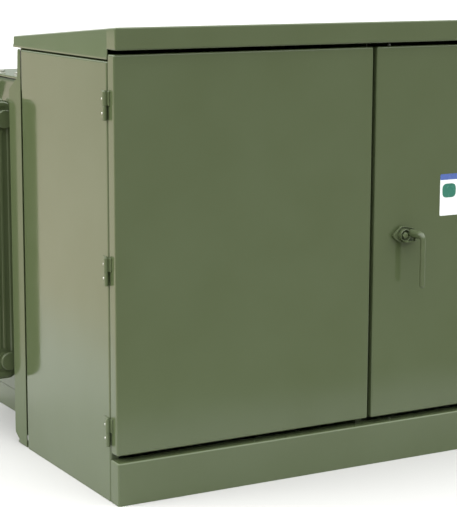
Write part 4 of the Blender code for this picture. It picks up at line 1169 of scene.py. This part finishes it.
# ---------------------------------------------------------------- controls and gauges
def make_levers():
    """The load-break switch and tap changer handles, with index plates behind them."""
    for node, body, hub in (("switch_handle", "switch", 0.024),
                            ("tap_changer_handle", "tap_changer", 0.030)):
        low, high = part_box(node)
        at = Vector(((low.x + high.x) / 2, TANK_FRONT, high.z - hub))
        lever = bmesh.new()
        lathe(lever, filleted_pairs([(0, 0.052), (hub - 0.006, 0.052), (hub - 0.003, 0.049),
                                     (hub - 0.002, 0.030), (hub, 0.027), (hub, 0.004), (0, 0.004)],
                                    0.0015), at, sides=40)
        blade = filleted_pairs([(-0.010, 0.012), (0.010, 0.012), (0.0095, low.z - at.z + 0.010),
                                       (0.006, low.z - at.z), (-0.006, low.z - at.z),
                                       (-0.0095, low.z - at.z + 0.010)], 0.006, 4, closed=True)
        plate(lever, blade, 0.009, Matrix.Translation(at - Vector((0, 0.041, 0))) @ FRONT, 0.0016)
        piece(node + "_casting", lever, body, ZINC, [node])
        fastened(node + "_bolt", body, BOLT_M12, [(at - Vector((0, 0.052, 0)), (0, -1, 0))], ZINC,
                 1)
        index = bmesh.new()
        lathe(index, filleted_pairs([(0, 0.0030), (hub + 0.020, 0.0030), (hub + 0.020, 0.0004),
                                     (0, 0.0004)], 0.0008), at, sides=56)
        piece(node + "_index_plate", index, "transformer", STAINLESS)
        mark = bmesh.new()
        slab(mark, (-0.0010, hub + 0.006, 0.0), (0.0010, hub + 0.014, 0.0004), 0.0001, 1)
        marks = grown(DIAL_MARKS, mark=jig(node + "_mark", mark), count=5,
                      sweep=math.radians(144 if hub > 0.025 else 90), finish=INK)
        marks.transform(Matrix.Translation(at - Vector((0, 0.0030, 0))) @ FRONT)
        settled(node + "_marks", marks, "transformer", None)


def make_gauges():
    """Level gauge and dial thermometer: case, dial card with marks and numbers, lens, pointer."""
    for node, body, sweep, numbers in (
            ("level_gauge", "level_needle", 120, ()),
            ("dial_thermometer", "temperature_needle", 240, ("0", "20", "40", "60", "80", "100", "120"))):
        low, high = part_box(node)
        at, radius = centre_of(node), (high.x - low.x) / 2
        case = bmesh.new()
        lathe(case, filleted_pairs([(0, 0.0150), (radius - 0.0065, 0.0150), (radius - 0.0065, 0.0280),
                                    (radius - 0.0020, 0.0280), (radius, 0.0262), (radius, 0.0205),
                                    (radius - 0.0035, 0.0195), (radius - 0.0050, 0.0080),
                                    (radius, 0.0060), (radius, 0.0005), (0, 0.0005)], 0.0010), at,
              sides=56)
        piece(node + "_case", case, "transformer", CASE, [node])
        card = bmesh.new()
        lathe(card, [(0, 0.0162), (radius - 0.0070, 0.0162), (radius - 0.0070, 0.0152), (0, 0.0152)], at,
              sides=56)
        piece(node + "_card", card, "transformer", DIAL)
        for size, count in ((0.0055, len(numbers) or 5), (0.0030, 25)):
            mark = bmesh.new()
            slab(mark, (-0.0005, radius - 0.0085 - size, 0.0), (0.0005, radius - 0.0085, 0.0002), 0.0, 1)
            marks = grown(DIAL_MARKS, mark=jig("mark", mark), count=count,
                          sweep=math.radians(sweep), finish=INK)
            marks.transform(Matrix.Translation(at - Vector((0, 0.0163, 0))) @ FRONT)
            settled(f"{node}_marks_{count}", marks, "transformer", None)
        for number, word in enumerate(numbers):
            angle = math.radians(sweep / 2 - sweep * number / (len(numbers) - 1) + 90)
            spot = at + Vector(((radius - 0.0185) * math.cos(angle), -0.0163,
                                (radius - 0.0185) * math.sin(angle)))
            print_number(f"{node}_number_{word}", word, spot, 0.0072)
        lens = bmesh.new()
        lathe(lens, [(0, 0.0262), (radius - 0.0066, 0.0256), (radius - 0.0066, 0.0240), (0, 0.0246)], at,
              sides=48)
        piece(node + "_lens", lens, "transformer", LENS)
        needle_low, needle_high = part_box(node + "_needle")
        y = (needle_low.y + needle_high.y) / 2
        needle = bmesh.new()
        shape = [(-0.0022, -0.010), (0.0022, -0.010), (0.0016, 0.004), (0.0003, needle_high.z - at.z),
                 (-0.0003, needle_high.z - at.z), (-0.0016, 0.004)]
        plate(needle, shape, 0.0008, Matrix.Translation((at.x, y, at.z)) @ FRONT)
        lathe(needle, [(0, 0.0215), (0.0036, 0.0212), (0.0046, 0.0200), (0.0046, 0.0172), (0, 0.0172)],
              at, sides=24)
        piece(node + "_needle_pointer", needle, body, INK, [node + "_needle"])
        spots = [(at + Vector(((radius - 0.004) * math.cos(angle), -0.0278,
                               (radius - 0.004) * math.sin(angle))), (0, -1, 0))
                 for angle in (math.tau * (turn + 0.5) / 6 for turn in range(6))]
        fastened(node + "_screws", "transformer", RIVET, spots, ZINC, 3)


def print_number(name, word, spot, height):
    """A dial number as a thin raised print."""
    curve = bpy.data.curves.new(name, "FONT")
    curve.body, curve.size, curve.extrude = word, height, 0.0001
    curve.align_x, curve.align_y, curve.resolution_u = "CENTER", "CENTER", 2
    drawing = bpy.data.objects.new(name, curve)
    JIGS.objects.link(drawing)
    bpy.context.view_layer.update()
    graph = bpy.context.evaluated_depsgraph_get()
    mesh = bpy.data.meshes.new_from_object(drawing.evaluated_get(graph), depsgraph=graph)
    bpy.data.objects.remove(drawing, do_unlink=True)
    mesh.transform(Matrix.Translation(spot) @ FRONT)
    settled(name, mesh, "transformer", INK)


def make_valves():
    """The pressure relief valve with its pull ring, and the drain valve with its handwheel."""
    at = centre_of("relief_valve")
    valve = bmesh.new()
    lathe(valve, filleted_pairs([(0, 0.0550), (0.0120, 0.0550), (0.0155, 0.0520), (0.0160, 0.0380),
                                 (0.0130, 0.0360), (0.0130, 0.0330), (0.0170, 0.0310), (0.0170, 0.0130),
                                 (0, 0.0130)], 0.0012), at, sides=36)
    plate(valve, hex_outline(0.040), 0.013, Matrix.Translation(at - Vector((0, 0.0068, 0))) @ FRONT,
          0.0012)
    for rise in (0.0175, 0.0215, 0.0255):
        lathe(valve, [(0.0165, rise - 0.0013), (0.0190, rise - 0.0008), (0.0190, rise + 0.0008),
                      (0.0165, rise + 0.0013)], at, sides=36, ring=True)
    piece("relief_valve_casting", valve, "transformer", BRASS, ["relief_valve"])
    ring = bmesh.new()
    tube(ring, [at - Vector((0, 0.0557, 0)), at - Vector((0, 0.0655, 0))], 0.0026, 16)
    eye_ring(ring, at - Vector((0, 0.0790, 0)), 0.0130, 0.0019, 40)
    piece("relief_valve_pull_ring", ring, "relief_ring", ZINC, ["relief_valve_ring"])

    low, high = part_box("drain_valve_body")
    at = Vector(((low.x + high.x) / 2, TANK_FRONT, high.z - 0.030))
    body = bmesh.new()
    lathe(body, filleted_pairs([(0, 0.0720), (0.0110, 0.0720), (0.0190, 0.0670), (0.0200, 0.0560),
                                (0.0150, 0.0500), (0.0260, 0.0400), (0.0300, 0.0330), (0.0300, 0.0160),
                                (0.0180, 0.0110), (0.0180, 0.0005), (0, 0.0005)], 0.0016), at, sides=40)
    plate(body, hex_outline(0.033), 0.010, Matrix.Translation(at - Vector((0, 0.0610, 0))) @ FRONT,
          0.0012)
    tube(body, [at - Vector((0, 0.0260, 0.0)), at - Vector((0, 0.0260, 0.0545))], 0.0150, 32)
    plate(body, hex_outline(0.0330), 0.014, Matrix.Translation(at - Vector((0, 0.0260, 0.0480))), 0.0012)
    piece("drain_valve_casting", body, "transformer", BRASS, ["drain_valve_body"])
    plug = bmesh.new()
    plate(plug, hex_outline(0.014, 4), 0.008, Matrix.Translation(at - Vector((0, 0.0260, 0.0588))), 0.001)
    puck(plug, 0.0125, -0.0545, -0.0570, 0.0006, at - Vector((0, 0.0260, 0)), UP, 28)
    piece("drain_plug", plug, "transformer", BRASS)
    wheel = bmesh.new()
    lathe(wheel, [(0.0330 + 0.0044 * math.cos(math.tau * step / 12),
                   0.0860 + 0.0038 * math.sin(math.tau * step / 12)) for step in range(12)], at,
          sides=56, ring=True)
    lathe(wheel, filleted_pairs([(0, 0.0918), (0.0085, 0.0915), (0.0085, 0.0725), (0, 0.0725)], 0.001),
          at, sides=28)
    for turn in range(4):
        angle = math.tau * turn / 4
        way = Vector((math.cos(angle), 0, math.sin(angle)))
        tube(wheel, filleted([at - Vector((0, 0.0820, 0)) + way * 0.006, at - Vector((0, 0.0845, 0)) +
                              way * 0.018, at - Vector((0, 0.0860, 0)) + way * 0.031], 0.01), 0.0030, 12)
    piece("drain_valve_handwheel", wheel, "drain_wheel", ZINC, ["drain_valve_wheel"])


def make_nameplate():
    """A blank brushed plate with ruled panels and a rivet at each corner."""
    low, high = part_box("nameplate")
    face = bmesh.new()
    outline = filleted_pairs([(low.x, low.z), (high.x, low.z), (high.x, high.z), (low.x, high.z)],
                                    0.006, 4, closed=True)
    plate(face, outline, high.y - low.y, Matrix.Translation((0, (low.y + high.y) / 2, 0)) @ FRONT, 0.0003)
    piece("nameplate_blank", face, "transformer", STAINLESS, ["nameplate"])
    rules = bmesh.new()
    left, right, bottom, top = low.x + 0.010, high.x - 0.010, low.z + 0.010, high.z - 0.010
    for step in range(6):
        z = bottom + (top - bottom) * step / 5
        slab(rules, (left, low.y - 0.0002, z - 0.0004), (right, low.y + 0.0001, z + 0.0004), 0.0)
    for x in (left, left + (right - left) * 0.35, left + (right - left) * 0.70, right):
        slab(rules, (x - 0.0004, low.y - 0.00018, bottom), (x + 0.0004, low.y + 0.0001, top), 0.0)
    piece("nameplate_rules", rules, "transformer", INK)
    spots = [((x, low.y, z), (0, -1, 0)) for x in (low.x + 0.005, high.x - 0.005)
             for z in (low.z + 0.005, high.z - 0.005)]
    fastened("nameplate_rivets", "transformer", RIVET, spots, ZINC, 2)


def make_label():
    """A plain vinyl label on the low-voltage door: a blue band and a green mark, no words."""
    left, right, bottom, top = 0.182, 0.302, 0.708, 0.829
    for name, (x0, z0, x1, z1), rise, finish in (
            ("door_label", (left, bottom, right, top), 0.00015, VINYL),
            ("door_label_band", (left, top - 0.017, right, top), 0.00022, VINYL_BLUE),
            ("door_label_mark", (left + 0.008, bottom + 0.052, left + 0.056, top - 0.028), 0.00022,
             VINYL_GREEN)):
        sheet = bmesh.new()
        outline = filleted_pairs([(x0, z0), (x1, z0), (x1, z1), (x0, z1)],
                                        0.004 if name != "door_label_mark" else 0.016, 4, closed=True)
        plate(sheet, outline, rise, Matrix.Translation((0, FACE_Y - rise / 2 - 0.00005, 0)) @ FRONT)
        piece(name, sheet, "lv_door", finish)


def finish_hidden():
    """The core and coils stay CAD nodes, out of sight in the tank, with their own finishes."""
    NODES["core"].data.materials[0] = CORE_STEEL
    for letter in ("a", "b", "c"):
        NODES["coil_" + letter].data.materials[0] = COIL_PAPER


# ---------------------------------------------------------------- camera, light and floor
def floor_finish():
    """Pale screed carrying painted light: warmer on the left as a painted patch of sunlight, darker in
    front as a painted shadow and far to the left as painted shade, for the glossy enamel to mirror.
    """
    material, tree = start_finish("floor_with_painted_light")
    place = add(tree, "ShaderNodeTexCoord").outputs["Object"]
    parts = add(tree, "ShaderNodeSeparateXYZ", {0: place})
    tint = (0.455, 0.455, 0.445, 1.0)
    # Each band is painted light: the warm band left of the cabinet is painted sunlight, the far-left and
    # front bands are painted shade.
    for axis, near, far, colour in (("X", -1.25, -2.0, (0.43, 0.365, 0.31, 1.0)),
                                    ("X", -10.5, -14.0, (0.16, 0.19, 0.14, 1.0)),
                                    ("Y", -1.02, -1.55, (0.18, 0.18, 0.15, 1.0))):
        share = add(tree, "ShaderNodeMapRange", {"Value": parts.outputs[axis], "From Min": near,
                                                 "From Max": far}, interpolation_type="SMOOTHSTEP")
        tint = add(tree, "ShaderNodeMix", {0: share.outputs[0], 6: tint, 7: colour},
                   data_type="RGBA").outputs[2]
    surface = add(tree, "ShaderNodeBsdfPrincipled", {"Base Color": tint, "Roughness": 0.9,
                                                     "Specular IOR Level": 0.1})
    add(tree, "ShaderNodeOutputMaterial", {"Surface": surface.outputs[0]})
    return material


def make_stage():
    """A pale floor with painted light and shade in its colour, under a soft, bright sky, seen from the
    front left.
    """
    bm = bmesh.new()
    bmesh.ops.create_grid(bm, x_segments=1, y_segments=1, size=60.0)
    mesh = bpy.data.meshes.new("floor")
    bm.to_mesh(mesh)
    bm.free()
    floor = bpy.data.objects.new("floor", mesh)
    bpy.context.scene.collection.objects.link(floor)
    floor.location.z = -0.0005
    mesh.materials.append(floor_finish())

    world = bpy.data.worlds.new("studio")
    bpy.context.scene.world = world
    world.use_nodes = True
    tree = world.node_tree
    tree.nodes.clear()
    direction = add(tree, "ShaderNodeTexCoord").outputs["Generated"]
    parts = add(tree, "ShaderNodeSeparateXYZ", {0: direction})
    band = add(tree, "ShaderNodeMapRange", {"Value": parts.outputs["Z"], "From Min": 0.16,
                                            "From Max": 0.50, "To Min": 0.0, "To Max": 1.0},
               interpolation_type="SMOOTHSTEP")
    sky = add(tree, "ShaderNodeMix", {0: band.outputs[0], 6: (0.50, 0.53, 0.50, 1.0),
                                      7: (3.30, 3.30, 3.30, 1.0)}, data_type="RGBA")
    light = add(tree, "ShaderNodeBackground", {"Color": sky.outputs[2], "Strength": 1.0})
    add(tree, "ShaderNodeOutputWorld", {"Surface": light.outputs[0]})

    soft = bpy.data.lights.new("soft_box", "AREA")
    soft.shape, soft.size, soft.energy = "DISK", 4.0, 340.0
    lamp = bpy.data.objects.new("soft_box", soft)
    bpy.context.scene.collection.objects.link(lamp)
    lamp.matrix_world = (Matrix.Translation((-7.5, 1.6, 5.0))
                         @ Vector((7.5, -1.6, -4.4)).to_track_quat("-Z", "Y").to_matrix().to_4x4())

    view = bpy.data.cameras.new("camera")
    view.lens, view.sensor_width, view.clip_end = 122.25, 36.0, 200.0
    camera = bpy.data.objects.new("camera", view)
    bpy.context.scene.collection.objects.link(camera)
    aim = Euler((math.radians(90 - 10.16), 0.0, math.radians(-29.29))).to_matrix().to_4x4()
    camera.matrix_world = (Matrix.Translation((-HALF - 1.900, FACE_Y - 3.989, 1.477)) @ aim
                           @ Matrix.Rotation(math.radians(0.16), 4, "Z"))
    bpy.context.scene.camera = camera
    bpy.context.scene.view_settings.view_transform = "Standard"


make_side_panels()
make_hood()
make_sill()
make_barrier()
make_back_panel()
make_doors()
make_hinges()
make_latch()
make_tank()
make_cover()
make_radiators()
make_hv_bushings()
make_lv_bushings()
make_fuses()
make_levers()
make_gauges()
make_valves()
make_nameplate()
make_label()
finish_hidden()
make_stage()

for pattern in list(JIGS.objects):
    bpy.data.objects.remove(pattern, do_unlink=True)
bpy.data.collections.remove(JIGS)
